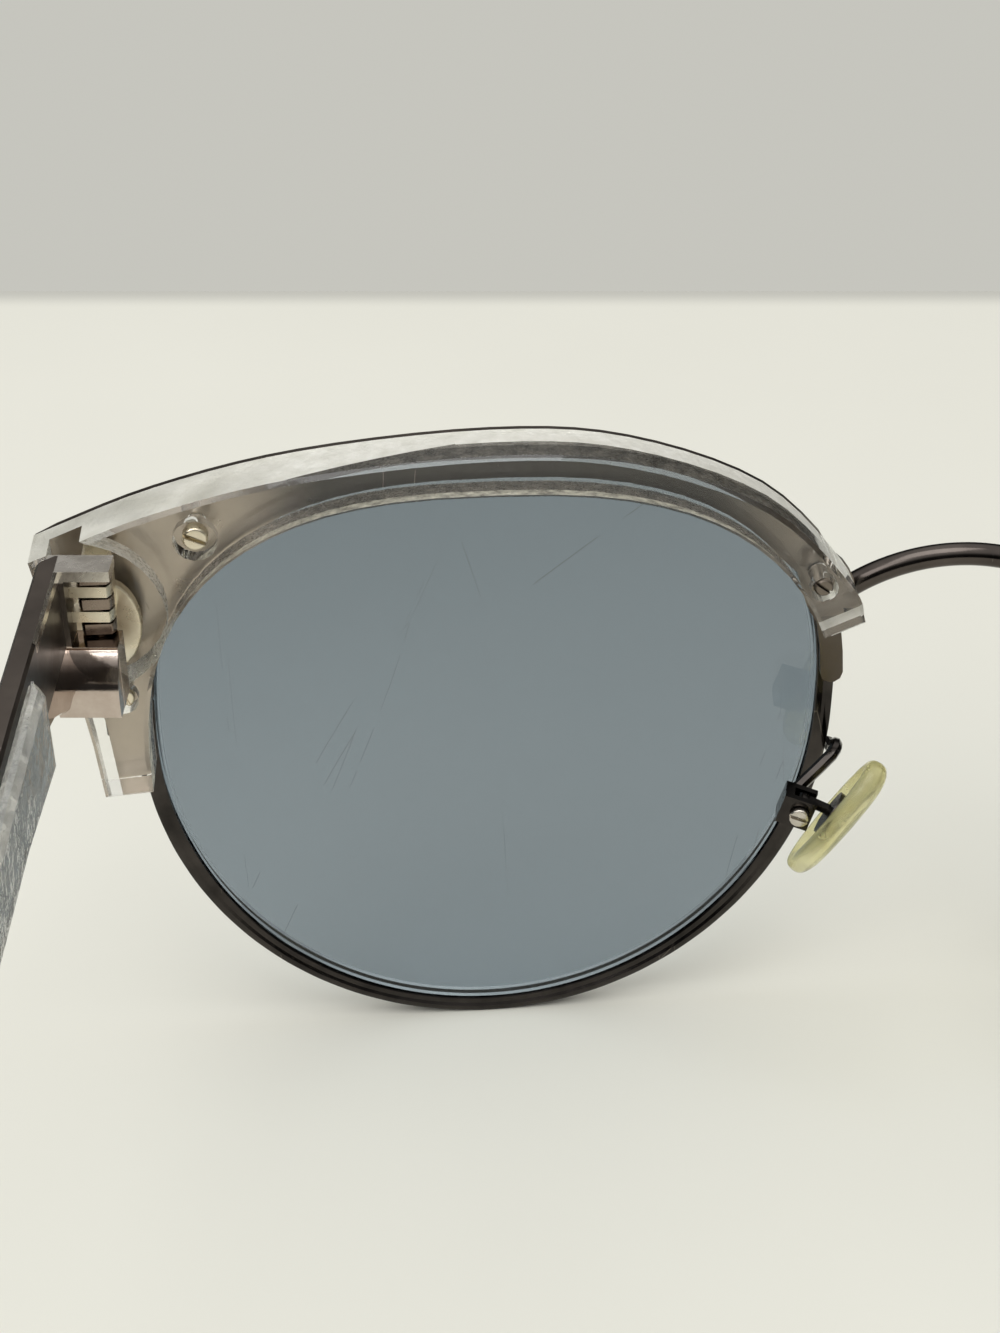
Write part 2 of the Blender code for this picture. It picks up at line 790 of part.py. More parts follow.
def strip_reach(distance):
    """How far the metal strip reaches below and above its middle line."""
    front_low = STRIP_TOP - STRIP_HEIGHT / 2 - STRIP_FRONT_BOTTOM
    full = STRIP_HEIGHT / 2
    waist = STRIP_HEIGHT - STRIP_REAR_HEIGHT
    rear = waist / 2 * eased(distance, *REAR_TAPER)
    low = front_low + (full - front_low) * eased(distance, 0.001, END_BLOCK_LENGTH)
    low -= waist * eased(distance, END_BLOCK_LENGTH - 0.0025, WAIST_END) - rear
    return -low, full - rear


def strip_section(distance, ear_turn, grow=0.0):
    """The metal strip, or its narrow core inside the ear sleeve."""
    if distance < SLEEVE_START - 0.002:
        low, high = strip_reach(distance)
        inner, outer = STRIP_OUT - STRIP_THICKNESS, STRIP_OUT
    else:
        thick, tall = CORE_SIZE
        low, high = -tall / 2, tall / 2
        middle = STRIP_OUT - STRIP_THICKNESS / 2
        inner, outer = middle - thick / 2, middle + thick / 2
    return temple_ring(
        distance, ear_turn, inner - grow, outer + grow, low - grow, high + grow, 0.0002
    )


def core_distances(start):
    """Distances along the core, close together round the ear."""
    return spread(start, TEMPLE_LENGTH - EAR_LENGTH + CORE_IN_EAR, 8)


def sleeve_reach(distance):
    """Half the ear sleeve's height: it swells towards the tip and ends round."""
    swell = eased(distance, SLEEVE_START + 0.020, TEMPLE_LENGTH - 0.010)
    half = (SLEEVE_HEIGHT + (SLEEVE_END_HEIGHT - SLEEVE_HEIGHT) * swell) / 2
    past = max(distance - (TEMPLE_LENGTH - TIP_ROUNDING), 0.0) / TIP_ROUNDING
    return half * math.sqrt(max(1 - past ** 2, 0.02))


def sleeve_distances():
    """Distances along the sleeve, close together round the ear and at the tip."""
    ear = TEMPLE_LENGTH - EAR_LENGTH
    run = [SLEEVE_START, SLEEVE_START + 0.004, ear - 0.004]
    run += [ear + 0.0035 * i for i in range(8)]
    tip = TEMPLE_LENGTH - TIP_ROUNDING
    run += [tip - 0.009, tip - 0.004, tip]
    run += [tip + TIP_ROUNDING * math.sin(math.pi / 2 * i / 5) for i in range(1, 6)]
    return run


def tip_height(ear_turn):
    """The lowest point of the ear sleeve above the table, for a given turn of the ear bend."""
    lowest = 1.0
    for distance in sleeve_distances():
        _, z, angle = temple_line(distance, ear_turn)
        lowest = min(lowest, z - sleeve_reach(distance) * math.cos(angle))
    return lowest + LENS_Z


def rear_reach(ear_turn):
    """How far the ear sleeve reaches behind the hinge axis."""
    furthest = 0.0
    for distance in sleeve_distances():
        y, _, angle = temple_line(distance, ear_turn)
        furthest = max(furthest, y + sleeve_reach(distance) * math.sin(angle))
    return furthest


def solve_ear_turn():
    """The ear bend that sets the tips on the table beside the rims."""
    low, high = math.radians(15), math.radians(88)
    for _ in range(50):
        middle = (low + high) / 2
        if tip_height(middle) > 0:
            low = middle
        else:
            high = middle
    return low


def make_temple(name, side, parent, material, ear_turn):
    """The metal temple: end block with its window and knuckles, strip and core."""
    distances = spread(0.0018, END_BLOCK_LENGTH, 4)
    distances += spread(END_BLOCK_LENGTH, SLEEVE_START - 0.0024, 8)[1:]
    rings = []
    for distance, back in ((0.00005, 0.0009), (0.0009, 0.0)):
        low, high = strip_reach(distance)
        rings.append(temple_ring(
            distance, ear_turn, STRIP_OUT - STRIP_THICKNESS, STRIP_OUT - back, low, high, 0.0002
        ))
    rings += [strip_section(distance, ear_turn) for distance in distances]
    rings += [strip_section(d, ear_turn) for d in core_distances(SLEEVE_START - 0.0018)]
    temple = add(name, loft(rings), side, parent, material)
    join(temple, box(
        (-RETURN_INNER, -RETURN_FRONT, STRIP_FRONT_BOTTOM + 0.00002),
        (STRIP_OUT - STRIP_THICKNESS * 0.4, RETURN_DEPTH - RETURN_FRONT, STRIP_TOP - 0.00002),
    ))
    window_low = BARREL_BOTTOM - KNUCKLE_GAP
    join(temple, box(
        (-RETURN_INNER + 0.00002, -RETURN_FRONT / 2, STRIP_FRONT_BOTTOM + 0.00003),
        (STRIP_OUT - STRIP_THICKNESS * 0.5, BLOCK_DEPTH - RETURN_FRONT, window_low - 0.00003),
    ))
    window_high = STRIP_TOP - RETURN_BAR
    cut(temple, box(
        (-RETURN_INNER - 0.001, -0.002, window_low), (WINDOW_SIDE, 0.004, window_high)
    ))
    nose = barrel_outline((-0.5 * math.pi - 1.2, -0.5 * math.pi + 1.2))
    nose += [(nose[-1][0], 0.0006), (nose[0][0], 0.0006)]
    join(temple, upright(nose, STRIP_FRONT_BOTTOM + 0.00004, window_low - 0.00002))
    flat = math.asin(BARREL_FLAT / BARREL_RADIUS)
    outline = barrel_outline((math.pi - flat, math.tau - math.pi / 6))
    reach = WINDOW_SIDE + 0.0004
    outline += [(reach, -BARREL_RADIUS / 2 + 0.0006), (reach, BARREL_FLAT)]
    for index in range(1, KNUCKLES, 2):
        join(temple, upright(outline, *knuckle_span(index)))
    bore = PIN_RADIUS + PIN_CLEARANCE
    recess = PIN_HEAD_RADIUS + PIN_CLEARANCE
    recess_depth = PIN_HEAD_HEIGHT + SCREW_CLEARANCE * 2
    cut(temple, turned((0, 0, STRIP_FRONT_BOTTOM - 0.001), (0, 0, 1), (
        (0.0, recess),
        (0.001 + recess_depth, recess),
        (0.001 + recess_depth, bore),
        (window_high - STRIP_FRONT_BOTTOM + 0.0008, bore),
    )))
    return temple


def make_lining(name, side, parent, material, ear_turn):
    """The clear lining inside the strip, one piece with the ear sleeve round the core."""
    inner = STRIP_OUT - STRIP_THICKNESS - SEAM - LINING_THICKNESS
    outer = STRIP_OUT - STRIP_THICKNESS - SEAM
    rings = []
    distances = [LINING_START] + spread(LINING_START + 0.001, SLEEVE_START + 0.002, 7)
    for distance in distances:
        low, high = strip_reach(distance)
        thin = 0.0006 if distance == LINING_START else 0.0
        rings.append(temple_ring(
            distance, ear_turn, inner + thin, outer, low + 0.0002, high - 0.0002, 0.0004
        ))
    lining = add(name, loft(rings), side, parent, material)
    rings = []
    for distance in sleeve_distances():
        half = sleeve_reach(distance)
        thin = min(1.0, half / (SLEEVE_HEIGHT / 2))
        middle = (inner - 0.0001 + STRIP_OUT + 0.0002) / 2
        half_x = (STRIP_OUT + 0.0003 - inner) / 2 * (0.35 + 0.65 * thin)
        rings.append(temple_ring(
            distance, ear_turn, middle - half_x, middle + half_x, -half, half, 0.0, 12
        ))
    join(lining, loft(rings))
    distances = core_distances(SLEEVE_START - 0.0016)
    distances.append(distances[-1] + 0.0005)
    cut(lining, loft([strip_section(d, ear_turn, 0.0002) for d in distances]))
    return lining


# Bridge

def bridge_path():
    """The bridge's arc in x and z, ending just short of the eyewires."""

    def eyewire_side(height):
        x, _ = opening(angle_at(height, False), WIRE_WALL)
        return LENS_X + x * math.cos(WRAP)

    low, high = 0.1, 1.3
    for _ in range(40):
        turn = (low + high) / 2
        furthest = -1.0
        for radius in (BRIDGE_ARC + BRIDGE_RADIUS, BRIDGE_ARC - BRIDGE_RADIUS):
            x = radius * math.sin(turn)
            z = BRIDGE_APEX - BRIDGE_ARC + radius * math.cos(turn)
            furthest = max(furthest, x - eyewire_side(z))
        if furthest < -SEAM:
            low = turn
        else:
            high = turn
    steps = 16
    path = []
    for i in range(steps + 1):
        angle = -low + 2 * low * i / steps
        path.append((BRIDGE_ARC * math.sin(angle), BRIDGE_ARC * (math.cos(angle) - 1)))
    return path


def make_bridge(front, material):
    """A round wire arched over the nose from one eyewire to the other."""
    depth = -(LENS_WIDTH / 2) * math.sin(WRAP)
    path = [Vector((x, depth, BRIDGE_APEX + drop)) for x, drop in bridge_path()]
    return add("bridge", tube(path, BRIDGE_RADIUS, 12), 1, front, material)


# Nose pads

def pad_axes():
    """The pad's own directions: across, along, and out of its face."""
    face = Vector(PAD_FACE).normalized()
    along = Vector(PAD_LONG)
    along -= face * along.dot(face)
    along.normalize()
    return along.cross(face), along, face


def claw_turn():
    """The claw's directions: x out of its mouth, y along its screw."""
    mouth = Vector(CLAW_FACE).normalized()
    screw = Vector((0.0, 1.0, 0.0))
    screw -= mouth * screw.dot(mouth)
    screw.normalize()
    return Matrix((mouth, screw, mouth.cross(screw))).transposed().to_4x4()


def claw_placed(mesh, place=(0.0, 0.0, 0.0)):
    """Turns a mesh drawn along the claw and moves it to its place."""
    matrix = Matrix.Translation(place) @ claw_turn()
    bmesh.ops.transform(mesh, matrix=matrix, verts=mesh.verts)
    return mesh


def pad_oval(centre, half_across, half_along, level, steps):
    """An oval ring in the pad's own directions."""
    across, along, face = pad_axes()
    ring = []
    for i in range(steps):
        angle = math.tau * i / steps
        cosine = math.copysign(abs(math.cos(angle)) ** 0.85, math.cos(angle))
        sine = math.copysign(abs(math.sin(angle)) ** 0.85, math.sin(angle))
        ring.append(
            centre + across * half_across * cosine + along * half_along * sine + face * level
        )
    return ring


def make_nose_pad(name, side, parent, material):
    """A soft oval pad with a domed face and a slot for the insert in its back."""
    centre = Vector(PAD_CENTRE) - Vector(PAD_SCREW)
    half_across, half_along = PAD_WIDTH / 2, PAD_LENGTH / 2
    half = PAD_THICKNESS / 2
    rings = []
    for shrink, level in (
        (0.0008, -half), (0.0, -half * 0.45), (0.0, half * 0.1),
        (0.0006, half * 0.6), (0.0016, half * 0.93), (0.0026, half),
    ):
        rings.append(pad_oval(centre, half_across - shrink, half_along - shrink, level, 28))
    pad = add(name, loft(rings), side, parent, material)
    slot_across, slot_along, slot_thick = CORE_PLATE
    slot = []
    for level in (-half - 0.001, -half + slot_thick + PAD_FIT):
        slot.append(pad_oval(centre, slot_across + PAD_FIT, slot_along + PAD_FIT, level, 24))
    cut(pad, loft(slot))
    return pad


def make_pad_core(name, side, parent, material):
    """The insert in the pad's back, with the drilled stem that the screw holds."""
    across, along, face = pad_axes()
    centre = Vector(PAD_CENTRE) - Vector(PAD_SCREW)
    half = PAD_THICKNESS / 2
    plate_across, plate_along, plate_thick = CORE_PLATE
    rings = [
        pad_oval(centre, plate_across, plate_along, level, 24)
        for level in (-half + 0.00005, -half + plate_thick)
    ]
    core = add(name, loft(rings), side, parent, material)
    thick = STEM_THICKNESS / 2
    eye = turned((0, -thick, 0), (0, 1, 0), ((0.0, STEM_RADIUS), (2 * thick, STEM_RADIUS)), 16)
    join(core, claw_placed(eye))
    toward = Vector(CLAW_FACE).normalized()
    reach = (centre.dot(face) - half + plate_thick * 0.5) / toward.dot(face)
    neck_half = STEM_RADIUS * 0.8
    neck = box((0.0, -thick * 0.95, -neck_half), (reach, thick * 0.95, neck_half))
    join(core, claw_placed(neck))
    bore = PAD_SCREW_SHANK + PIN_CLEARANCE
    cut(core, claw_placed(turned((0, -0.002, 0), (0, 1, 0), ((0.0, bore), (0.004, bore)), 16)))
    return core


def make_pad_arm(name, side, parent, material):
    """The bent arm from the eyewire to the claw that holds the pad's stem."""
    anchor_x, anchor_z = opening(angle_at(-ARM_DROP, False), WIRE_WALL + SEAM + ARM_RADIUS)
    screw = Vector(PAD_SCREW)
    half = Vector(CLAW_HALF)
    slot = STEM_THICKNESS / 2 + PAD_FIT
    wall = half.y - slot
    turn = claw_turn()
    seat = screw + turn @ Vector((-CLAW_BACK * 0.4, -half.y + wall * 0.6, half.z * 0.2))
    behind = screw + turn @ Vector((-CLAW_BACK * 0.4, -half.y - 0.0008, half.z * 0.2))
    path = through((
        (anchor_x, -WIRE_AHEAD * 0.8, anchor_z),
        (anchor_x, WIRE_BEHIND * 1.2, anchor_z + 0.0005),
        (anchor_x + 0.0004, 0.0030, anchor_z + 0.0025),
        (anchor_x + 0.0011, 0.0047, anchor_z + 0.0027),
        behind,
        seat,
    ), 3)
    arm = add(name, tube(path, ARM_RADIUS, 8), side, parent, material)
    join(arm, claw_placed(box((-CLAW_BACK, -half.y, -half.z), half), screw))
    back = -STEM_RADIUS - PAD_FIT
    cut(arm, claw_placed(box((back, -slot, -0.004), (0.004, slot, 0.004)), screw))
    bore = PAD_SCREW_SHANK + PIN_CLEARANCE
    cut(arm, claw_placed(
        turned((0, -0.003, 0), (0, 1, 0), ((0.0, bore), (0.006, bore)), 16), screw
    ))
    return arm


def make_pad_screw(name, side, parent, material):
    """The small slotted screw through the claw and the stem."""
    half = CLAW_HALF[1]
    head = 0.0005
    start = (0.0, half + head + PIN_CLEARANCE, 0.0)
    body, slot = slotted_screw(
        start, (0, -1, 0), PAD_SCREW_HEAD, head, PAD_SCREW_SHANK, head + 2 * half, (1, 0, 0)
    )
    screw = add(name, claw_placed(body, PAD_SCREW), side, parent, material)
    cut(screw, claw_placed(slot, PAD_SCREW))
    return screw


# Assembly

def build():
    for item in list(bpy.data.objects):
        bpy.data.objects.remove(item, do_unlink=True)

    metal = make_material("gunmetal", (0.11, 0.095, 0.085), 0.28, 1.0)
    plate_metal = make_material("taupe metal", (0.30, 0.25, 0.21), 0.35, 1.0)
    steel = make_material("bright steel", (0.72, 0.68, 0.62), 0.25, 1.0)
    clear = make_material("clear acetate", (0.93, 0.93, 0.88), 0.12, 0.0, 0.9)
    tint = make_material("grey lens", (0.16, 0.18, 0.19), 0.05, 0.0, 0.8)
    soft = make_material("pad silicone", (0.86, 0.85, 0.62), 0.35, 0.0, 0.6)

    ear_turn = solve_ear_turn()
    pivot_x = LENS_X + AXIS.x * math.cos(WRAP) - AXIS.y * math.sin(WRAP)
    pivot_y = AXIS.x * math.sin(WRAP) + AXIS.y * math.cos(WRAP)
    crown = LENS_RINGS[0]
    front_y = -LENS_WIDTH / 2 * crown * math.sin(WRAP)
    front_y -= (LENS_THICKNESS / 2 + dome(crown)) * math.cos(WRAP)
    centre_y = (pivot_y + rear_reach(ear_turn) + front_y) / 2

    front = empty("front", (0.0, -centre_y, LENS_Z))
    make_bridge(front, metal)
    for label, side in SIDES:
        half = empty(f"front_{label}", (side * LENS_X, 0.0, 0.0), front, side * WRAP)
        make_eyewire(f"eyewire_{label}", side, half, metal)
        make_rim_screw(f"rim_screw_{label}", side, half, steel)
        make_lens(f"lens_{label}", side, half, tint)
        make_brow_plate(f"brow_plate_{label}", side, half, plate_metal)
        make_clear_brow(f"clear_brow_{label}", side, half, clear)
        make_brow_screws(label, side, half, steel)
        make_hinge_plate(f"hinge_plate_{label}", side, half, steel)
        make_pad_arm(f"pad_arm_{label}", side, half, metal)
        make_pad_screw(f"pad_screw_{label}", side, half, steel)
        pad = empty(
            f"pad_pivot_{label}", (side * PAD_SCREW[0], PAD_SCREW[1], PAD_SCREW[2]), half
        )
        make_pad_core(f"pad_core_{label}", side, pad, metal)
        make_nose_pad(f"nose_pad_{label}", side, pad, soft)
        pivot = empty(f"temple_pivot_{label}", (side * pivot_x, pivot_y, 0.0), front)
        make_temple(f"temple_{label}", side, pivot, metal, ear_turn)
        make_hinge_screw(f"hinge_screw_{label}", side, pivot, steel)
        make_lining(f"temple_lining_{label}", side, pivot, clear, ear_turn)


build()
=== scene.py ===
import json
import math

import bpy
from mathutils import Matrix, Vector

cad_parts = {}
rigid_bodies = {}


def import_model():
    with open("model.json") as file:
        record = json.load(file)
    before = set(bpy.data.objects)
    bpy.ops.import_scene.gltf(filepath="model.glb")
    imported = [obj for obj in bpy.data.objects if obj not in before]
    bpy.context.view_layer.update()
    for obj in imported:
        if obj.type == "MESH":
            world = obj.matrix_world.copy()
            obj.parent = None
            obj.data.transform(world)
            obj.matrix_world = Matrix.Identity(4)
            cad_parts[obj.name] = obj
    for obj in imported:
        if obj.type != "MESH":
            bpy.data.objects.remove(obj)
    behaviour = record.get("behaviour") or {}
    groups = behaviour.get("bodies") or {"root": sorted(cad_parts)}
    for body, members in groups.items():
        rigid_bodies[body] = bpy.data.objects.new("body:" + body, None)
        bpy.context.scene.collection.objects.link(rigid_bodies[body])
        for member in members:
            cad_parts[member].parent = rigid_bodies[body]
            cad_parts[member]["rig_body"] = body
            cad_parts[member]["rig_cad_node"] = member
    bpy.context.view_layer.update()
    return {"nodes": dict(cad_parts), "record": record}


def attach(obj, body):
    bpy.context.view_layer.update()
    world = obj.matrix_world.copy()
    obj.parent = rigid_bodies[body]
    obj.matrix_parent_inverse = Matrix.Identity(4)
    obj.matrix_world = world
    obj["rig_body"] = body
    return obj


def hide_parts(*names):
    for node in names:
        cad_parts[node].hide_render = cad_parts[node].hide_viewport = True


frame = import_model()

print("frame loaded")


# helpers for work by hand

handWork = {
    "mergeReach": 2e-6, "cutReach": 1e-6, "flatAngle": 0.6, "edgeAngle": 38, "edgeSteps": 2,
}


def deselectAll():
    if bpy.context.mode != "OBJECT":
        bpy.ops.object.mode_set(mode="OBJECT")
    bpy.ops.object.select_all(action="DESELECT")


def pick(piece):
    deselectAll()
    piece.select_set(True)
    bpy.context.view_layer.objects.active = piece


def applyModifiers(piece):
    pick(piece)
    for modifier in list(piece.modifiers):
        bpy.ops.object.modifier_apply(modifier=modifier.name)


def copyNode(node, name):
    pick(frame["nodes"][node])
    bpy.ops.object.duplicate()
    piece = bpy.context.active_object
    bpy.ops.object.parent_clear(type="CLEAR_KEEP_TRANSFORM")
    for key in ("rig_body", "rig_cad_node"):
        if key in piece:
            del piece[key]
    piece.name = name
    piece.data.name = name
    piece.data.materials.clear()
    # loose triangles become one closed skin before anything else is done
    bpy.ops.mesh.customdata_custom_splitnormals_clear()
    bpy.ops.object.mode_set(mode="EDIT")
    bpy.ops.mesh.select_all(action="SELECT")
    bpy.ops.mesh.remove_doubles(threshold=handWork["mergeReach"])
    bpy.ops.object.mode_set(mode="OBJECT")
    return piece


def selectFaces(piece, wanted):
    # leaves the piece in edit mode with only the wanted faces selected
    pick(piece)
    bpy.ops.object.mode_set(mode="EDIT")
    bpy.ops.mesh.select_mode(type="FACE")
    bpy.ops.mesh.select_all(action="DESELECT")
    bpy.ops.object.mode_set(mode="OBJECT")
    for face in piece.data.polygons:
        face.select = wanted(face)
    bpy.ops.object.mode_set(mode="EDIT")


def cutFaces(piece, wanted, place, normal):
    selectFaces(piece, wanted)
    bpy.ops.mesh.bisect(
        plane_co=place, plane_no=Vector(normal).normalized(), threshold=handWork["cutReach"]
    )
    bpy.ops.object.mode_set(mode="OBJECT")


def mergeFlats(piece):
    pick(piece)
    bpy.ops.object.mode_set(mode="EDIT")
    bpy.ops.mesh.select_all(action="SELECT")
    bpy.ops.mesh.dissolve_limited(angle_limit=math.radians(handWork["flatAngle"]))
    bpy.ops.object.mode_set(mode="OBJECT")


def softenEdges(piece, width, steps=handWork["edgeSteps"]):
    edge = piece.modifiers.new("softEdges", "BEVEL")
    edge.width = width
    edge.segments = steps
    edge.limit_method = "ANGLE"
    edge.angle_limit = math.radians(handWork["edgeAngle"])
    applyModifiers(piece)


def smoothMesh(piece, levels):
    smooth = piece.modifiers.new("smooth", "SUBSURF")
    smooth.levels = levels
    smooth.render_levels = levels
    applyModifiers(piece)


def shade(piece, angle):
    pick(piece)
    bpy.ops.object.shade_smooth_by_angle(angle=math.radians(angle))


def evenShade(piece):
    # broad flat faces keep their own shading beside the softened edges
    pick(piece)
    bpy.ops.mesh.customdata_custom_splitnormals_clear()
    even = piece.modifiers.new("evenShade", "WEIGHTED_NORMAL")
    even.keep_sharp = True
    applyModifiers(piece)


def mirrored(piece, name):
    pick(piece)
    bpy.ops.object.duplicate()
    other = bpy.context.active_object
    other.name = name
    other.data.name = name
    other.data.transform(Matrix.Scale(-1, 4, (1, 0, 0)))
    other.data.flip_normals()
    return other


def giveMaterials(piece, *names):
    for name in names:
        piece.data.materials.append(materials[name])


def declare(piece, node):
    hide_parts(node)
    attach(piece, nodeBody[node])


# shader groups

grainLook = {"detail": 4.0, "dullest": 0.3, "strongest": 0.7}
scratchLook = {"turn": (0.5, 0.3, 0.7), "stretch": (1.0, 0.35, 0.2), "patchScale": 160.0}


def newGroup(name, numbers, output):
    group = bpy.data.node_groups.new(name, "ShaderNodeTree")
    for label, value in numbers.items():
        socket = group.interface.new_socket(
            name=label, in_out="INPUT", socket_type="NodeSocketFloat"
        )
        socket.default_value = value
    group.interface.new_socket(name=output, in_out="OUTPUT", socket_type="NodeSocketFloat")
    return group, group.nodes.new("NodeGroupInput"), group.nodes.new("NodeGroupOutput")


def mathNode(tree, operation, first, second):
    # first comes from another node, second from a node or as a plain number
    node = tree.nodes.new("ShaderNodeMath")
    node.operation = operation
    tree.links.new(first, node.inputs[0])
    if isinstance(second, float):
        node.inputs[1].default_value = second
    else:
        tree.links.new(second, node.inputs[1])
    return node.outputs["Value"]


def makeGrainGroup():
    group, given, result = newGroup(
        "grain", {"Scale": 900.0, "Roughness": 0.6, "Low": 0.0, "High": 1.0}, "Value"
    )
    link = group.links.new
    place = group.nodes.new("ShaderNodeTexCoord")
    noise = group.nodes.new("ShaderNodeTexNoise")
    noise.inputs["Detail"].default_value = grainLook["detail"]
    spread = group.nodes.new("ShaderNodeMapRange")
    spread.inputs["From Min"].default_value = grainLook["dullest"]
    spread.inputs["From Max"].default_value = grainLook["strongest"]
    link(place.outputs["Object"], noise.inputs["Vector"])
    link(given.outputs["Scale"], noise.inputs["Scale"])
    link(given.outputs["Roughness"], noise.inputs["Roughness"])
    link(noise.outputs["Fac"], spread.inputs["Value"])
    link(given.outputs["Low"], spread.inputs["To Min"])
    link(given.outputs["High"], spread.inputs["To Max"])
    link(spread.outputs["Result"], result.inputs["Value"])
    return group


def makeScratchGroup():
    # thin lines where stretched cells meet, kept only in patches
    group, given, result = newGroup(
        "scratches", {"Scale": 120.0, "Width": 0.012, "Share": 0.5}, "Mask"
    )
    link = group.links.new
    place = group.nodes.new("ShaderNodeTexCoord")
    stretch = group.nodes.new("ShaderNodeMapping")
    stretch.inputs["Rotation"].default_value = scratchLook["turn"]
    stretch.inputs["Scale"].default_value = scratchLook["stretch"]
    cells = group.nodes.new("ShaderNodeTexVoronoi")
    cells.feature = "DISTANCE_TO_EDGE"
    patches = group.nodes.new("ShaderNodeTexNoise")
    patches.inputs["Scale"].default_value = scratchLook["patchScale"]
    link(place.outputs["Object"], stretch.inputs["Vector"])
    link(stretch.outputs["Vector"], cells.inputs["Vector"])
    link(given.outputs["Scale"], cells.inputs["Scale"])
    link(place.outputs["Object"], patches.inputs["Vector"])
    thin = mathNode(group, "LESS_THAN", cells.outputs["Distance"], given.outputs["Width"])
    kept = mathNode(group, "LESS_THAN", patches.outputs["Fac"], given.outputs["Share"])
    link(mathNode(group, "MULTIPLY", thin, kept), result.inputs["Mask"])
    return group


grainGroup = makeGrainGroup()
scratchGroup = makeScratchGroup()


# steps that the materials share

def newMaterial(name):
    material = bpy.data.materials.new(name)
    material.use_nodes = True
    return material, material.node_tree, material.node_tree.nodes["Principled BSDF"]


def placeGroup(tree, group, values):
    # gives the group's one output
    node = tree.nodes.new("ShaderNodeGroup")
    node.node_tree = group
    for label, value in values.items():
        node.inputs[label].default_value = value
    return node.outputs[0]


def mixColours(tree, low, high, factor):
    # low and high are plain colours or come from other nodes
    node = tree.nodes.new("ShaderNodeMix")
    node.data_type = "RGBA"
    for label, colour in (("A", low), ("B", high)):
        if isinstance(colour, tuple):
            node.inputs[label].default_value = (*colour, 1.0)
        else:
            tree.links.new(colour, node.inputs[label])
    tree.links.new(factor, node.inputs["Factor"])
    return node.outputs["Result"]


def placeAlong(tree, axis):
    # how far a point lies along X, Y or Z
    place = tree.nodes.new("ShaderNodeTexCoord")
    split = tree.nodes.new("ShaderNodeSeparateXYZ")
    tree.links.new(place.outputs["Object"], split.inputs["Vector"])
    return split.outputs[axis]


def riseBetween(tree, source, ends, high=1.0, shape="SMOOTHSTEP"):
    # from 0 at the first end to high at the second
    node = tree.nodes.new("ShaderNodeMapRange")
    node.interpolation_type = shape
    node.inputs["From Min"].default_value, node.inputs["From Max"].default_value = ends
    node.inputs["To Max"].default_value = high
    tree.links.new(source, node.inputs["Value"])
    return node.outputs["Result"]


def sideShare(tree, ends, high):
    # rises from 0 to high between two distances from the middle of the glasses
    side = mathNode(tree, "ABSOLUTE", placeAlong(tree, "X"), 0.0)
    return riseBetween(tree, side, ends, high)


def addGloss(tree, shader, scale, ends):
    low, high = ends
    gloss = placeGroup(tree, grainGroup, {"Scale": scale, "Low": low, "High": high})
    tree.links.new(gloss, shader.inputs["Roughness"])


def addBump(tree, shader, height, strength, depth):
    bump = tree.nodes.new("ShaderNodeBump")
    bump.inputs["Strength"].default_value = strength
    bump.inputs["Distance"].default_value = depth
    tree.links.new(height, bump.inputs["Height"])
    tree.links.new(bump.outputs["Normal"], shader.inputs["Normal"])


def letLightThrough(tree, shader, tint):
    # shadows and bounced light pass the clear parts, tinted, instead of stopping at them
    rays = tree.nodes.new("ShaderNodeLightPath")
    passing = mathNode(
        tree, "MAXIMUM", rays.outputs["Is Shadow Ray"], rays.outputs["Is Diffuse Ray"]
    )
    empty = tree.nodes.new("ShaderNodeBsdfTransparent")
    empty.inputs["Color"].default_value = (*tint, 1.0)
    mix = tree.nodes.new("ShaderNodeMixShader")
    tree.links.new(passing, mix.inputs["Fac"])
    tree.links.new(shader.outputs["BSDF"], mix.inputs[1])
    tree.links.new(empty.outputs["BSDF"], mix.inputs[2])
    tree.links.new(mix.outputs["Shader"], tree.nodes["Material Output"].inputs["Surface"])


# materials

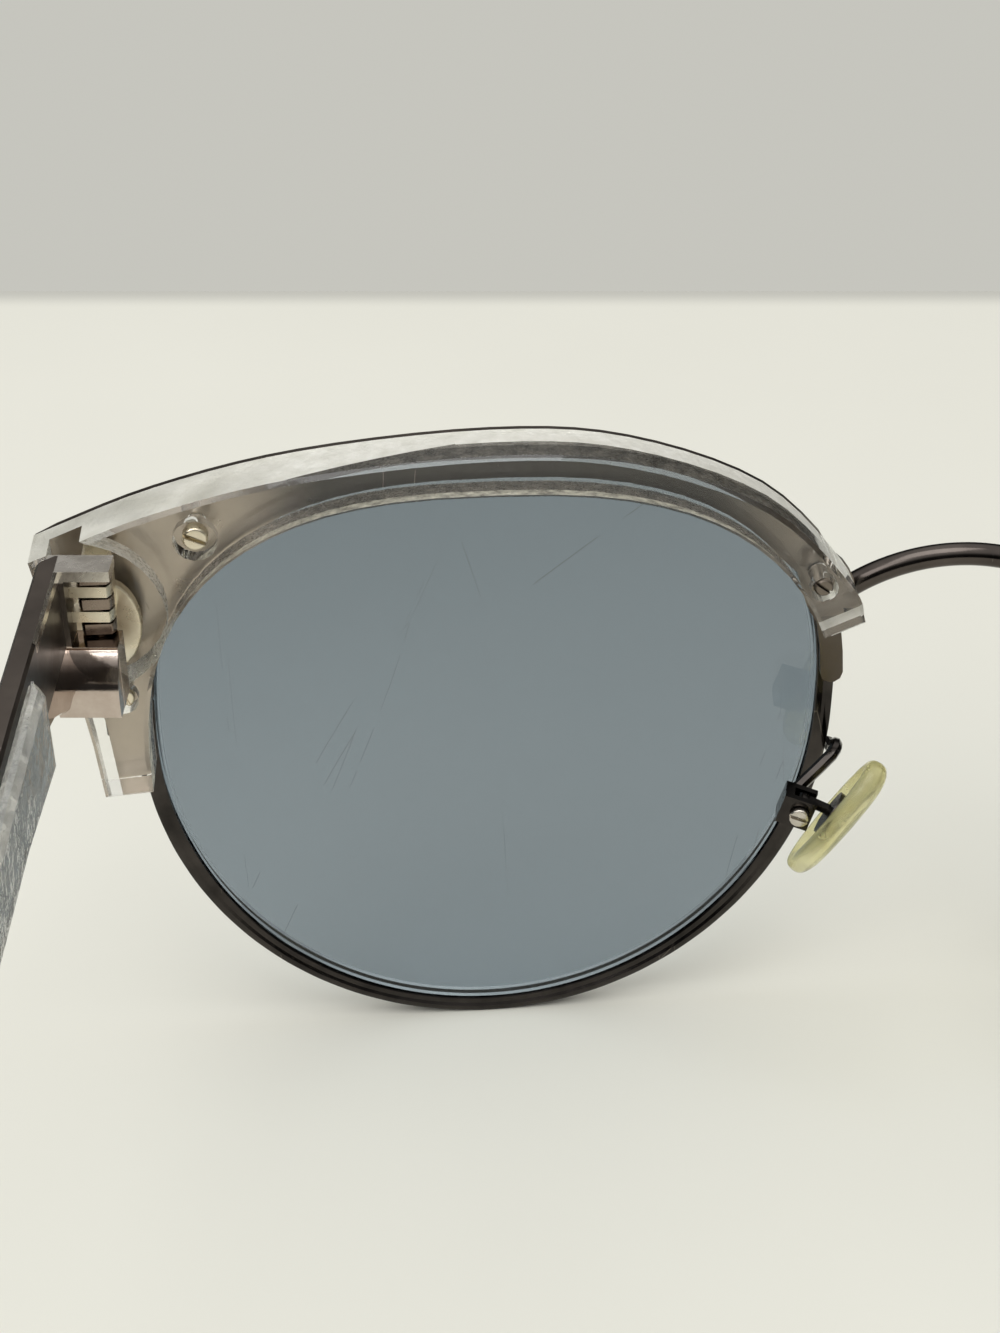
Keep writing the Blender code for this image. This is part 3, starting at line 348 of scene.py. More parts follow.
metals = {
    "gunmetal": {
        "dark": (0.030, 0.027, 0.025), "light": (0.066, 0.058, 0.053), "worn": (0.13, 0.115, 0.10),
        "roughness": (0.15, 0.27), "grain": 1500.0, "bump": 0.04, "marks": 0.37,
    },
    "bridge_metal": {
        "dark": (0.060, 0.051, 0.046), "light": (0.100, 0.086, 0.077), "worn": (0.20, 0.18, 0.16),
        "roughness": (0.10, 0.20), "grain": 1500.0, "bump": 0.03, "marks": 0.36,
    },
    "temple_metal": {
        "dark": (0.100, 0.084, 0.072), "light": (0.135, 0.114, 0.098), "worn": (0.24, 0.21, 0.18),
        "roughness": (0.28, 0.42), "grain": 1300.0, "bump": 0.07, "marks": 0.38,
    },
    "taupe_metal": {
        "dark": (0.37, 0.31, 0.255), "light": (0.50, 0.43, 0.36), "worn": (0.34, 0.29, 0.24),
        # painted shade and dark reflection: the crest colour is painted over the plate away from
        # the hinge
        "crest": (0.034, 0.029, 0.025), "crestEnds": (0.046, 0.055), "noseEnds": (0.021, 0.012),
        "noseShare": 0.40,
        "roughness": (0.26, 0.40), "grain": 1200.0, "bump": 0.08, "marks": 0.36,
    },
    "polished_nickel": {
        "dark": (0.44, 0.36, 0.31), "light": (0.64, 0.56, 0.50), "worn": (0.30, 0.20, 0.16),
        "roughness": (0.04, 0.12), "grain": 2000.0, "bump": 0.05, "marks": 0.40,
    },
    "hinge_metal": {
        "dark": (0.62, 0.54, 0.40), "light": (0.86, 0.80, 0.66), "worn": (0.44, 0.35, 0.24),
        "roughness": (0.22, 0.40), "grain": 1700.0, "bump": 0.08, "marks": 0.42,
    },
    "knuckle_metal": {
        "dark": (0.15, 0.11, 0.085), "light": (0.34, 0.28, 0.23), "worn": (0.62, 0.52, 0.38),
        "roughness": (0.18, 0.34), "grain": 1700.0, "bump": 0.08, "marks": 0.42,
    },
    "bright_steel": {
        "dark": (0.50, 0.46, 0.40), "light": (0.76, 0.72, 0.66), "worn": (0.85, 0.82, 0.78),
        "roughness": (0.16, 0.32), "grain": 1800.0, "bump": 0.08, "marks": 0.36,
    },
}


metalWork = {
    # how many times coarser the tone and the gloss are than the fine grain
    "toneCoarse": 6, "glossCoarse": 3, "fineRoughness": 0.7, "depth": 0.00005,
    "scratchScale": 420.0, "scratchWidth": 0.006,
}


def darkenCrest(tree, base, look):
    # painted shade and dark reflection: the plate keeps its own colour near the hinge and, in part,
    # near the nose, and is painted dark further in
    unshaded = mathNode(
        tree, "MAXIMUM", sideShare(tree, look["crestEnds"], 1.0),
        sideShare(tree, look["noseEnds"], look["noseShare"]),
    )
    return mixColours(tree, look["crest"], base, unshaded)


def makeMetal(name, look):
    work, grain = metalWork, look["grain"]
    material, tree, shader = newMaterial(name)
    shader.inputs["Metallic"].default_value = 1.0
    tone = placeGroup(tree, grainGroup, {"Scale": grain / work["toneCoarse"]})
    base = mixColours(tree, look["dark"], look["light"], tone)
    # the plate gets painted shade and dark reflection over its crest
    if "crest" in look:
        base = darkenCrest(tree, base, look)
    marks = placeGroup(tree, scratchGroup, {
        "Scale": work["scratchScale"], "Width": work["scratchWidth"], "Share": look["marks"],
    })
    tree.links.new(mixColours(tree, base, look["worn"], marks), shader.inputs["Base Color"])
    addGloss(tree, shader, grain / work["glossCoarse"], look["roughness"])
    fine = placeGroup(tree, grainGroup, {"Scale": grain, "Roughness": work["fineRoughness"]})
    addBump(tree, shader, fine, look["bump"], work["depth"])
    return material


clears = {
    "clear_acetate": {
        "low": (0.95, 0.945, 0.915), "high": (0.99, 0.99, 0.98), "ior": 1.49, "clarity": 1.0,
        "roughness": (0.015, 0.07), "grain": 90.0, "bump": 0.05, "wave": 420.0, "depth": 0.0001,
    },
    "lining_acetate": {
        "low": (0.82, 0.81, 0.76), "high": (0.99, 0.99, 0.97), "ior": 1.49, "clarity": 0.90,
        "roughness": (0.01, 0.06), "grain": 300.0, "bump": 0.50, "wave": 420.0, "depth": 0.00028,
    },
    "sawn_acetate": {
        "low": (0.76, 0.75, 0.67), "high": (0.95, 0.94, 0.87), "ior": 1.49, "clarity": 0.26,
        "roughness": (0.30, 0.55), "grain": 800.0, "bump": 0.50, "wave": 1500.0, "depth": 0.0001,
        "hinge": (0.36, 0.35, 0.28), "hingeEnds": (0.046, 0.056), "hingeShare": 0.60,
    },
    "rough_acetate": {
        "low": (0.72, 0.71, 0.65), "high": (0.97, 0.965, 0.93), "ior": 1.49, "clarity": 0.78,
        "roughness": (0.16, 0.42), "grain": 1000.0, "bump": 0.60, "wave": 1100.0, "depth": 0.00012,
    },
    "inner_acetate": {
        "low": (0.10, 0.085, 0.062), "high": (0.98, 0.94, 0.78), "ior": 1.49, "clarity": 0.50,
        "roughness": (0.22, 0.50), "grain": 1500.0, "bump": 0.60, "wave": 1800.0, "depth": 0.00012,
    },
    # painted shade: a nearly black acetate for the front part of the clear brow's inner side
    "deep_acetate": {
        "low": (0.020, 0.017, 0.015), "high": (0.20, 0.18, 0.155), "ior": 1.49, "clarity": 0.30,
        "roughness": (0.16, 0.40), "grain": 1100.0, "bump": 0.40, "wave": 1400.0, "depth": 0.0001,
    },
    "pad_silicone": {
        "low": (0.66, 0.61, 0.24), "high": (0.93, 0.90, 0.60), "ior": 1.42, "clarity": 0.86,
        "roughness": (0.14, 0.30), "grain": 240.0, "bump": 0.05, "wave": 600.0, "depth": 0.0001,
    },
}


clearWork = {
    # the gloss is finer than the tone, and the swirls near the hinge are coarser
    "glossFine": 3, "swirlCoarse": 2, "swirlRoughness": 0.4,
}


def darkenHinge(tree, base, look):
    # darker towards the hinge, in swirls
    swirl = placeGroup(tree, grainGroup, {
        "Scale": look["grain"] / clearWork["swirlCoarse"],
        "Roughness": clearWork["swirlRoughness"],
    })
    share = sideShare(tree, look["hingeEnds"], look["hingeShare"])
    return mixColours(tree, base, look["hinge"], mathNode(tree, "MULTIPLY", share, swirl))


def makeClear(name, look):
    material, tree, shader = newMaterial(name)
    shader.inputs["Transmission Weight"].default_value = look["clarity"]
    shader.inputs["IOR"].default_value = look["ior"]
    tone = placeGroup(tree, grainGroup, {"Scale": look["grain"]})
    base = mixColours(tree, look["low"], look["high"], tone)
    if "hinge" in look:
        base = darkenHinge(tree, base, look)
    tree.links.new(base, shader.inputs["Base Color"])
    addGloss(tree, shader, look["grain"] * clearWork["glossFine"], look["roughness"])
    waves = placeGroup(tree, grainGroup, {"Scale": look["wave"]})
    addBump(tree, shader, waves, look["bump"], look["depth"])
    # light passes two faces, so each takes the root of the clarity
    letLightThrough(tree, shader, tuple(math.sqrt(look["clarity"]) * part for part in look["high"]))
    return material


lensLook = {
    "top": (0.182, 0.224, 0.268), "bottom": (0.300, 0.358, 0.416), "heights": (0.002, 0.052),
    "scratch": (0.15, 0.17, 0.19), "scratches": {"Scale": 60.0, "Width": 0.0006, "Share": 0.47},
    "shadow": (0.80, 0.83, 0.86), "ior": 1.5, "roughness": (0.01, 0.03), "glossScale": 300.0,
}


def makeLensMaterial():
    # painted light: the tint is a little deeper towards the top and lighter towards the bottom, to
    # make up for the shade on the table seen through the lens
    look = lensLook
    material, tree, shader = newMaterial("grey_lens")
    shader.inputs["Transmission Weight"].default_value = 1.0
    shader.inputs["IOR"].default_value = look["ior"]
    height = riseBetween(tree, placeAlong(tree, "Z"), look["heights"], shape="LINEAR")
    base = mixColours(tree, look["bottom"], look["top"], height)
    marks = placeGroup(tree, scratchGroup, look["scratches"])
    tree.links.new(mixColours(tree, base, look["scratch"], marks), shader.inputs["Base Color"])
    addGloss(tree, shader, look["glossScale"], look["roughness"])
    letLightThrough(tree, shader, look["shadow"])
    return material


materials = {name: makeMetal(name, look) for name, look in metals.items()}
materials.update({name: makeClear(name, look) for name, look in clears.items()})
materials["grey_lens"] = makeLensMaterial()
print("materials made")


# where the left lens and hinge stand, and the shape of the lens opening

lensPlace = {"across": 0.0351229, "depth": -0.0656561, "height": 0.0289, "wrap": 4.5}
openingShape = {"half": 0.025, "rise": 0.0233, "drop": 0.0276, "risePower": 2.6, "dropPower": 2.0}
hingeAxis = {"across": 0.0615431, "depth": -0.0559532}
browScrews = ((0.0203, 0.0205), (-0.0235, 0.0145), (0.0265, 0.0077))  # across and up
lensMatrix = Matrix.Translation(
    (lensPlace["across"], lensPlace["depth"], lensPlace["height"])
) @ Matrix.Rotation(math.radians(lensPlace["wrap"]), 4, "Z")
flatMatrix = lensMatrix @ Matrix.Rotation(math.radians(90), 4, "X")
worldToLens = lensMatrix.inverted()

nodeBody = {}
for bodyName, members in frame["record"]["behaviour"]["bodies"].items():
    for member in members:
        nodeBody[member] = bodyName


def openingShare(place):
    # 1 on the edge of the lens opening, less inside it
    if place.z > 0:
        high, power = openingShape["rise"], openingShape["risePower"]
    else:
        high, power = openingShape["drop"], openingShape["dropPower"]
    return (abs(place.x) / openingShape["half"]) ** power + (abs(place.z) / high) ** power


def awayFrom(place, middle):
    return math.hypot(place.x - middle[0], place.z - middle[1])


def onWall(face):
    # faces that run from front to back
    return abs(face.normal.y) < 0.5


# eyewire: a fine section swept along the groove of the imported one

wireLook = {
    # the path lies this far out from the opening and behind its middle, in mm
    "path": (0.55, 0.33),
    # corners of the section, out and back, in mm, with a small step in the rear face
    "section": (
        (0.00, -0.68), (0.10, -0.78), (0.98, -0.79), (1.14, -0.74), (1.25, -0.63), (1.30, -0.48),
        (1.30, 0.78), (1.26, 0.91), (1.14, 0.98), (0.72, 1.00), (0.52, 0.84), (0.10, 0.82),
        (0.02, 0.76), (0.00, 0.55), (0.50, 0.33), (0.50, -0.33), (0.00, -0.55),
    ),
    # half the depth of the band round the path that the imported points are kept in, in mm
    "band": 0.03, "steps": 5, "smooth": 32,
    "blockPlace": (0.02697, 0.00008, 0.0041), "blockSize": (0.00285, 0.00153, 0.0018),
    "blockGap": 0.00015, "blockSoft": 0.00016, "blockSteps": 3,
}


def makeSection(name, corners, middle):
    curve = bpy.data.curves.new(name, "CURVE")
    curve.dimensions = "2D"
    spline = curve.splines.new("POLY")
    spline.points.add(len(corners) - 1)
    for point, (out, back) in zip(spline.points, corners):
        point.co = ((middle[0] - out) / 1000, (middle[1] - back) / 1000, 0, 1)
    spline.use_cyclic_u = True
    section = bpy.data.objects.new(name, curve)
    bpy.context.scene.collection.objects.link(section)
    return section


def makeClosingBlock(up):
    deselectAll()
    x, y, z = wireLook["blockPlace"]
    size = wireLook["blockSize"]
    reach = wireLook["blockGap"] + size[2] / 2
    bpy.ops.mesh.primitive_cube_add(size=1, location=(x, y, z + up * reach))
    block = bpy.context.active_object
    block.scale = size
    bpy.ops.object.transform_apply(location=True, rotation=True, scale=True)
    softenEdges(block, wireLook["blockSoft"], wireLook["blockSteps"])
    block.data.transform(lensMatrix)
    return block


def makeEyewire(node, name):
    piece = copyNode(node, name)
    piece.data.transform(flatMatrix.inverted())
    _, behind = wireLook["path"]
    near, far = (behind - wireLook["band"]) / 1000, (behind + wireLook["band"]) / 1000
    bpy.ops.object.mode_set(mode="EDIT")
    bpy.ops.mesh.select_mode(type="VERT")
    bpy.ops.mesh.select_all(action="DESELECT")
    bpy.ops.object.mode_set(mode="OBJECT")
    for corner in piece.data.vertices:
        corner.select = not near < -corner.co.z < far
    bpy.ops.object.mode_set(mode="EDIT")
    bpy.ops.mesh.delete(type="VERT")
    bpy.ops.object.mode_set(mode="OBJECT")
    bpy.ops.object.convert(target="CURVE")
    piece = bpy.context.active_object
    bpy.ops.object.mode_set(mode="EDIT")
    bpy.ops.curve.select_all(action="SELECT")
    bpy.ops.curve.spline_type_set(type="BEZIER")
    bpy.ops.curve.handle_type_set(type="AUTOMATIC")
    bpy.ops.object.mode_set(mode="OBJECT")
    section = makeSection("rimSection", wireLook["section"], wireLook["path"])
    path = piece.data
    path.dimensions = "3D"
    path.twist_mode = "Z_UP"
    path.resolution_u = wireLook["steps"]
    path.bevel_mode = "OBJECT"
    path.bevel_object = section
    path.use_fill_caps = True
    bpy.ops.object.convert(target="MESH")
    piece = bpy.context.active_object
    piece.name = name
    piece.data.name = name
    bpy.data.objects.remove(section)
    piece.data.transform(flatMatrix)
    bpy.ops.object.mode_set(mode="EDIT")
    bpy.ops.mesh.select_all(action="SELECT")
    bpy.ops.mesh.remove_doubles(threshold=handWork["mergeReach"])
    bpy.ops.mesh.normals_make_consistent(inside=False)
    bpy.ops.object.mode_set(mode="OBJECT")
    blocks = [makeClosingBlock(up) for up in (1, -1)]
    deselectAll()
    for item in (*blocks, piece):
        item.select_set(True)
    bpy.context.view_layer.objects.active = piece
    bpy.ops.object.join()
    piece.data.materials.clear()
    giveMaterials(piece, "gunmetal")
    shade(piece, wireLook["smooth"])
    return piece


# lens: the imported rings, smoothed, with their flat middles domed

lensWork = {
    "joinAngle": 40, "joinShape": 80, "capShare": 0.19, "middleShare": 0.15,
    "domePush": 0.00011, "levels": 2, "crease": 30, "smooth": 40,
}


def makeLens(node, name):
    piece = copyNode(node, name)
    piece.data.transform(worldToLens)
    pick(piece)
    bpy.ops.object.mode_set(mode="EDIT")
    bpy.ops.mesh.select_all(action="SELECT")
    bpy.ops.mesh.tris_convert_to_quads(
        face_threshold=math.radians(lensWork["joinAngle"]),
        shape_threshold=math.radians(lensWork["joinShape"]),
    )
    bpy.ops.object.mode_set(mode="OBJECT")
    half = openingShape["half"]
    selectFaces(piece, lambda face: math.hypot(*face.center.xz) < lensWork["capShare"] * half)
    bpy.ops.mesh.dissolve_faces()
    bpy.ops.mesh.poke()
    bpy.ops.object.mode_set(mode="OBJECT")
    for corner in piece.data.vertices:
        if math.hypot(*corner.co.xz) < lensWork["middleShare"] * half:
            corner.co.y -= lensWork["domePush"]
    bpy.ops.object.mode_set(mode="EDIT")
    bpy.ops.mesh.select_mode(type="EDGE")
    bpy.ops.mesh.select_all(action="DESELECT")
    bpy.ops.mesh.edges_select_sharp(sharpness=math.radians(lensWork["crease"]))
    bpy.ops.transform.edge_crease(value=1)
    bpy.ops.object.mode_set(mode="OBJECT")
    piece.data.transform(lensMatrix)
    smoothMesh(piece, lensWork["levels"])
    giveMaterials(piece, "grey_lens")
    shade(piece, lensWork["smooth"])
    return piece


# brow plate: a dark edge shows above and below the clear piece, and its tail is dark; both are
# painted in the darker temple metal, the edges as painted shade and the tail as painted shade and
# dark reflection

plateWork = {
    # the darker temple metal serves as painted shade on this plate
    "finishes": ("taupe_metal", "temple_metal"), "soft": 0.00006, "smooth": 35,
    "tailTop": 0.0106, "tailSide": -0.015,
    # the dark edges stand a little proud, but not beside the screws
    "outerShare": 1.15, "outerRise": 0.00028, "innerShare": 1.06, "innerRise": 0.00040,
    "screwKeep": 0.0021,
    # the lug is narrower than the clear piece on its outer side
    "lugTop": 0.0066, "lugSide": 0.0266, "lugInset": 0.0008,
}


def makeBrowPlate(node, name):
    look = plateWork
    dark = look["finishes"].index("temple_metal")
    piece = copyNode(node, name)
    piece.data.transform(worldToLens)
    mergeFlats(piece)
    cutFaces(piece, lambda face: True, (0, 0, look["tailTop"]), (0, 0, 1))
    giveMaterials(piece, *look["finishes"])
    moves = {}
    for face in piece.data.polygons:
        place = face.center
        if place.x < look["tailSide"] and place.z < look["tailTop"]:
            # painted shade and dark reflection: the tail takes the darker temple metal
            face.material_index = dark
        atScrew = any(awayFrom(place, screw) < look["screwKeep"] for screw in browScrews)
        if not onWall(face) or place.z < look["tailTop"] or atScrew:
            continue
        share = openingShare(place)
        outward = face.normal.x * place.x + face.normal.z * place.z > 0
        if share > look["outerShare"] and outward:
            rise = look["outerRise"]
        elif share < look["innerShare"] and not outward:
            rise = look["innerRise"]
        else:
            continue
        # painted shade: the proud edges take the darker temple metal
        face.material_index = dark
        for index in face.vertices:
            direction, _ = moves.setdefault(index, (Vector(), rise))
            direction += face.normal
    widest = max(corner.co.x for corner in piece.data.vertices)
    for index, (direction, rise) in moves.items():
        corner = piece.data.vertices[index]
        corner.co += direction.normalized() * rise
        corner.co.x = min(corner.co.x, widest)  # the front grows no wider
    for corner in piece.data.vertices:
        if corner.co.z < look["lugTop"] and corner.co.x > look["lugSide"]:
            corner.co.x -= look["lugInset"]
    piece.data.transform(lensMatrix)
    softenEdges(piece, look["soft"])
    shade(piece, look["smooth"])
    return piece


# clear brow piece: polished faces, a sawn top, a rough edge along the lens and painted shade on the
# front part of its inner side

browWork = {
    "finishes": (
        "clear_acetate", "sawn_acetate", "inner_acetate", "rough_acetate", "deep_acetate",
    ),
    "soft": 0.00012, "smooth": 35, "sawnDepth": 0.00365, "fullDepth": 0.0059,
    "crestSide": 0.003, "cornerSide": 0.016, "innerShare": 1.03, "innerDark": 0.0039,
    "pocket": (0.0289, 0.0145), "pocketRadius": 0.0062, "pocketBand": 0.0004,
    "screwRadius": 0.0019,
    # the sides of the lug turn up or down by no more than this
    "lugSide": 0.020, "lugUp": 0.5, "lugDown": -0.8,
}


def makeClearBrow(node, name):
    look = browWork
    piece = copyNode(node, name)
    piece.data.transform(worldToLens)
    mergeFlats(piece)
    run = look["cornerSide"] - look["crestSide"]
    rise = look["fullDepth"] - look["sawnDepth"]

    def inPocket(place):
        off = awayFrom(place, look["pocket"]) - look["pocketRadius"]
        return abs(off) < look["pocketBand"]

    def bored(place):
        return inPocket(place) or any(
            awayFrom(place, screw) < look["screwRadius"] for screw in browScrews
        )

    def onSide(face):
        return onWall(face) and not bored(face.center)

    def onOuter(face):
        return onSide(face) and openingShare(face.center) > look["innerShare"]

    def onInner(face):
        return onSide(face) and not onOuter(face)

    cutFaces(
        piece, lambda face: onOuter(face) and face.center.x < look["crestSide"],
        (0, look["sawnDepth"], 0), (0, 1, 0),
    )
    cutFaces(
        piece, lambda face: onOuter(face) and look["crestSide"] <= face.center.x < look["lugSide"],
        (look["crestSide"], look["sawnDepth"], 0), (-rise, run, 0),
    )
    cutFaces(piece, onInner, (0, look["innerDark"], 0), (0, 1, 0))
    giveMaterials(piece, *look["finishes"])
    sawn, inner, rough, deep = range(1, len(look["finishes"]))
    for face in piece.data.polygons:
        if onWall(face) and inPocket(face.center):
            face.material_index = rough
        if not onSide(face):
            continue
        if not onOuter(face):
            # painted shade: the front part of the inner side, deeper under the brow, takes the deep
            # acetate
            face.material_index = inner if face.center.y > look["innerDark"] else deep
            continue
        share = min(max((face.center.x - look["crestSide"]) / run, 0.0), 1.0)
        if face.center.x > look["lugSide"] and face.normal.z < look["lugUp"]:
            if face.normal.z > look["lugDown"]:
                face.material_index = rough
        elif face.center.y < look["sawnDepth"] + rise * share:
            face.material_index = sawn
    piece.data.transform(lensMatrix)
    softenEdges(piece, look["soft"])
    shade(piece, look["smooth"])
    return piece


# nose pad: an oval drawn up in rings, its back sunk for the insert

padLook = {
    "centre": (-0.0252, 0.0100, -0.0030), "face": (-0.88, 0.47, -0.52),
    "along": (-0.47, 0.20, 0.86), "halfWide": 0.0031, "halfLong": 0.00595, "halfThick": 0.0010,
    "corners": 32, "levels": 2, "smooth": 60,
    # level as a share of the half thickness, and how far the ring is drawn in, in mm
    "rings": (
        (-1.0, 0.62), (-0.94, 0.34), (-0.75, 0.12), (-0.40, 0.0), (0.05, 0.0), (0.35, 0.14),
        (0.60, 0.45), (0.80, 0.95), (0.94, 1.60), (1.0, 2.40),
    ),
    "slotRim": 0.00075, "slotDepth": 0.0008,
}


def padMatrix():
    face = Vector(padLook["face"]).normalized()
    along = Vector(padLook["along"])
    along = (along - face * along.dot(face)).normalized()
    turn = Matrix((along.cross(face), along, face)).transposed().to_4x4()
    return lensMatrix @ Matrix.Translation(padLook["centre"]) @ turn


def makeNosePad(node, name):
    look = padLook
    (level, drawn), *rings = look["rings"]
    deselectAll()
    bpy.ops.mesh.primitive_circle_add(
        vertices=look["corners"], radius=1, fill_type="NGON",
        location=(0, 0, level * look["halfThick"]),
    )
    piece = bpy.context.active_object
    piece.name = name
    piece.data.name = name
    wide, long = look["halfWide"] - drawn / 1000, look["halfLong"] - drawn / 1000
    piece.scale = (wide, long, 1)
    bpy.ops.object.transform_apply(location=True, rotation=True, scale=True)
    bpy.ops.object.mode_set(mode="EDIT")
    bpy.ops.mesh.select_mode(type="FACE")
    bpy.ops.mesh.select_all(action="SELECT")
    for nextLevel, drawn in rings:
        bpy.ops.mesh.extrude_region_move(
            TRANSFORM_OT_translate={"value": (0, 0, (nextLevel - level) * look["halfThick"])}
        )
        nextWide, nextLong = look["halfWide"] - drawn / 1000, look["halfLong"] - drawn / 1000
        bpy.ops.transform.resize(
            value=(nextWide / wide, nextLong / long, 1), center_override=(0, 0, 0)
        )
        level, wide, long = nextLevel, nextWide, nextLong
    bpy.ops.mesh.select_all(action="SELECT")
    bpy.ops.mesh.normals_make_consistent(inside=False)
    bpy.ops.object.mode_set(mode="OBJECT")
    selectFaces(piece, lambda face: face.normal.z < -0.99)
    bpy.ops.mesh.inset(thickness=look["slotRim"])
    bpy.ops.mesh.extrude_region_move(TRANSFORM_OT_translate={"value": (0, 0, look["slotDepth"])})
    bpy.ops.object.mode_set(mode="OBJECT")
    piece.data.transform(padMatrix())
    smoothMesh(piece, look["levels"])
    giveMaterials(piece, "pad_silicone")
    shade(piece, look["smooth"])
    return piece


# temple: a satin strip with a polished end block whose rear is rounded off towards its top

barrelLook = {"low": 0.04370, "high": 0.04872, "radius": 0.0014}
templeWork = {
    "finishes": ("temple_metal", "polished_nickel", "hinge_metal", "bright_steel"),
    "blockDepth": 0.0035, "polishedLength": 0.0105,
    # share of the block's height, and how far its rear is drawn in there, in mm
    "rear": (
        (0.0, 0.10), (0.05, 0.03), (0.12, 0.0), (0.25, 0.01), (0.35, 0.05), (0.45, 0.14),
        (0.55, 0.29), (0.65, 0.50), (0.75, 0.76), (0.83, 1.01), (0.89, 1.23), (0.94, 1.46),
        (0.975, 1.66), (1.0, 1.88),
    ),
    "rearTurn": 0.95, "rearReach": 0.0001,
    "stripInner": 0.00206, "wallSide": 0.0004, "soft": 0.00012, "smooth": 35,
}


def onBarrel(place):
    off = math.hypot(place.x - hingeAxis["across"], place.y - hingeAxis["depth"])
    return off < barrelLook["radius"] and barrelLook["low"] < place.z < barrelLook["high"]


def makeTemple(node, name):
    piece = copyNode(node, name)
    mergeFlats(piece)
    look = templeWork
    rear = hingeAxis["depth"] + look["blockDepth"]

    def onBlockRear(face):
        return face.normal.y > look["rearTurn"] and abs(face.center.y - rear) < look["rearReach"]

    heights = [
        piece.data.vertices[index].co.z
        for face in piece.data.polygons if onBlockRear(face) for index in face.vertices
    ]
    low, high = min(heights), max(heights)
    for share, _ in look["rear"][1:-1]:
        cutFaces(piece, onBlockRear, (0, 0, low + (high - low) * share), (0, 0, 1))
    onRear = {
        index for face in piece.data.polygons if onBlockRear(face) for index in face.vertices
    }
    for index in onRear:
        corner = piece.data.vertices[index]
        share = (corner.co.z - low) / (high - low)
        corner.co.y -= min(look["rear"], key=lambda step: abs(step[0] - share))[1] / 1000
    end = hingeAxis["depth"] + look["polishedLength"]
    cutFaces(piece, lambda face: True, (0, end, 0), (0, 1, 0))
    for height in (barrelLook["high"], barrelLook["low"]):
        cutFaces(piece, lambda face: face.center.y < end, (0, 0, height), (0, 0, 1))
    giveMaterials(piece, *look["finishes"])
    strip, polished, knuckle, bar = range(len(look["finishes"]))
    for face in piece.data.polygons:
        x, y, z = face.center
        if y < end and x < hingeAxis["across"] + look["stripInner"]:
            face.material_index = polished
            if barrelLook["low"] < z < barrelLook["high"]:
                if onBarrel(face.center):
                    face.material_index = knuckle
                elif x > hingeAxis["across"] + look["wallSide"]:
                    face.material_index = strip  # painted shade: walls of the window beside the knuckles take the darker strip metal
            elif z > barrelLook["high"]:
                face.material_index = bar  # above the knuckles
    softenEdges(piece, look["soft"])
    shade(piece, look["smooth"])
    return piece


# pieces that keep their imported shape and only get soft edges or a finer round

softSmooth = 36
softWork = {
    "rim_screw": {"slot": "bright_steel", "bevel": 0.00006},
    "brow_screw_top": {"slot": "bright_steel", "bevel": 0.00007, "finish": "hinge_metal"},
    "brow_screw_nose": {"slot": "bright_steel", "bevel": 0.00005, "finish": "taupe_metal"},
    "brow_screw_lug": {"slot": "bright_steel", "bevel": 0.00006, "finish": "hinge_metal"},
    "hinge_plate": {
        "slot": "bright_steel", "bevel": 0.00007, "finish": "hinge_metal",
        "barrel": "knuckle_metal",
    },
    "pad_arm": {"slot": "gunmetal", "bevel": 0.00006},
    "pad_screw": {"slot": "bright_steel", "bevel": 0.00004},
    "pad_core": {"slot": "gunmetal", "bevel": 0.00005, "length": 0.42},
    "hinge_screw": {"slot": "bright_steel", "bevel": 0.00006},
    "temple_lining": {"slot": "clear_acetate", "bevel": 0.00012, "finish": "lining_acetate"},
}


def makeSoft(node, name):
    work = softWork[node.rsplit("_", 1)[0]]
    piece = copyNode(node, name)
    mergeFlats(piece)
    if "length" in work:
        shorter = Matrix.Diagonal((1, work["length"], 1, 1))
        piece.data.transform(padMatrix() @ shorter @ padMatrix().inverted())
    giveMaterials(piece, work.get("finish", work["slot"]))
    if "barrel" in work:
        giveMaterials(piece, work["barrel"])
        for face in piece.data.polygons:
            face.material_index = 1 if onBarrel(face.center) else 0
    softenEdges(piece, work["bevel"])
    shade(piece, softSmooth)
    return piece


ownWork = {
    "eyewire": (makeEyewire, "gunmetal"),
    "lens": (makeLens, "grey_lens"),
    "brow_plate": (makeBrowPlate, "taupe_metal"),
    "clear_brow": (makeClearBrow, "clear_acetate"),
    "nose_pad": (makeNosePad, "pad_silicone"),
    "temple": (makeTemple, "gunmetal"),
}
ownWork.update({family: (makeSoft, work["slot"]) for family, work in softWork.items()})
roundFamilies = ("eyewire", "lens", "nose_pad")

for family, (make, slot) in ownWork.items():
    words = family.split("_")
    pieceName = words[0] + "".join(word.capitalize() for word in words[1:])
    left = make(f"{family}_left", pieceName + "Left")
    right = mirrored(left, pieceName + "Right")
    if family not in roundFamilies:
        evenShade(left)
        evenShade(right)
    declare(left, f"{family}_left")
    declare(right, f"{family}_right")
    print("made", pieceName)

bridgeLook = {"levels": 2, "smooth": 60}

bridge = copyNode("bridge", "bridgeWire")
mergeFlats(bridge)
smoothMesh(bridge, bridgeLook["levels"])
giveMaterials(bridge, "bridge_metal")
shade(bridge, bridgeLook["smooth"])
declare(bridge, "bridge")
print("pieces made")


# table, light and camera

tableLook = {
    "size": (1.6, 0.56), "farEdge": -0.2130, "colour": (0.79, 0.783, 0.708),
    "grain": 14.0, "darker": 0.975, "roughness": 0.6, "specular": 0.2,
    # the far edge rounds off and fades into the room behind
    "edgeColour": (0.545, 0.540, 0.495), "edgeWide": 0.006,
}


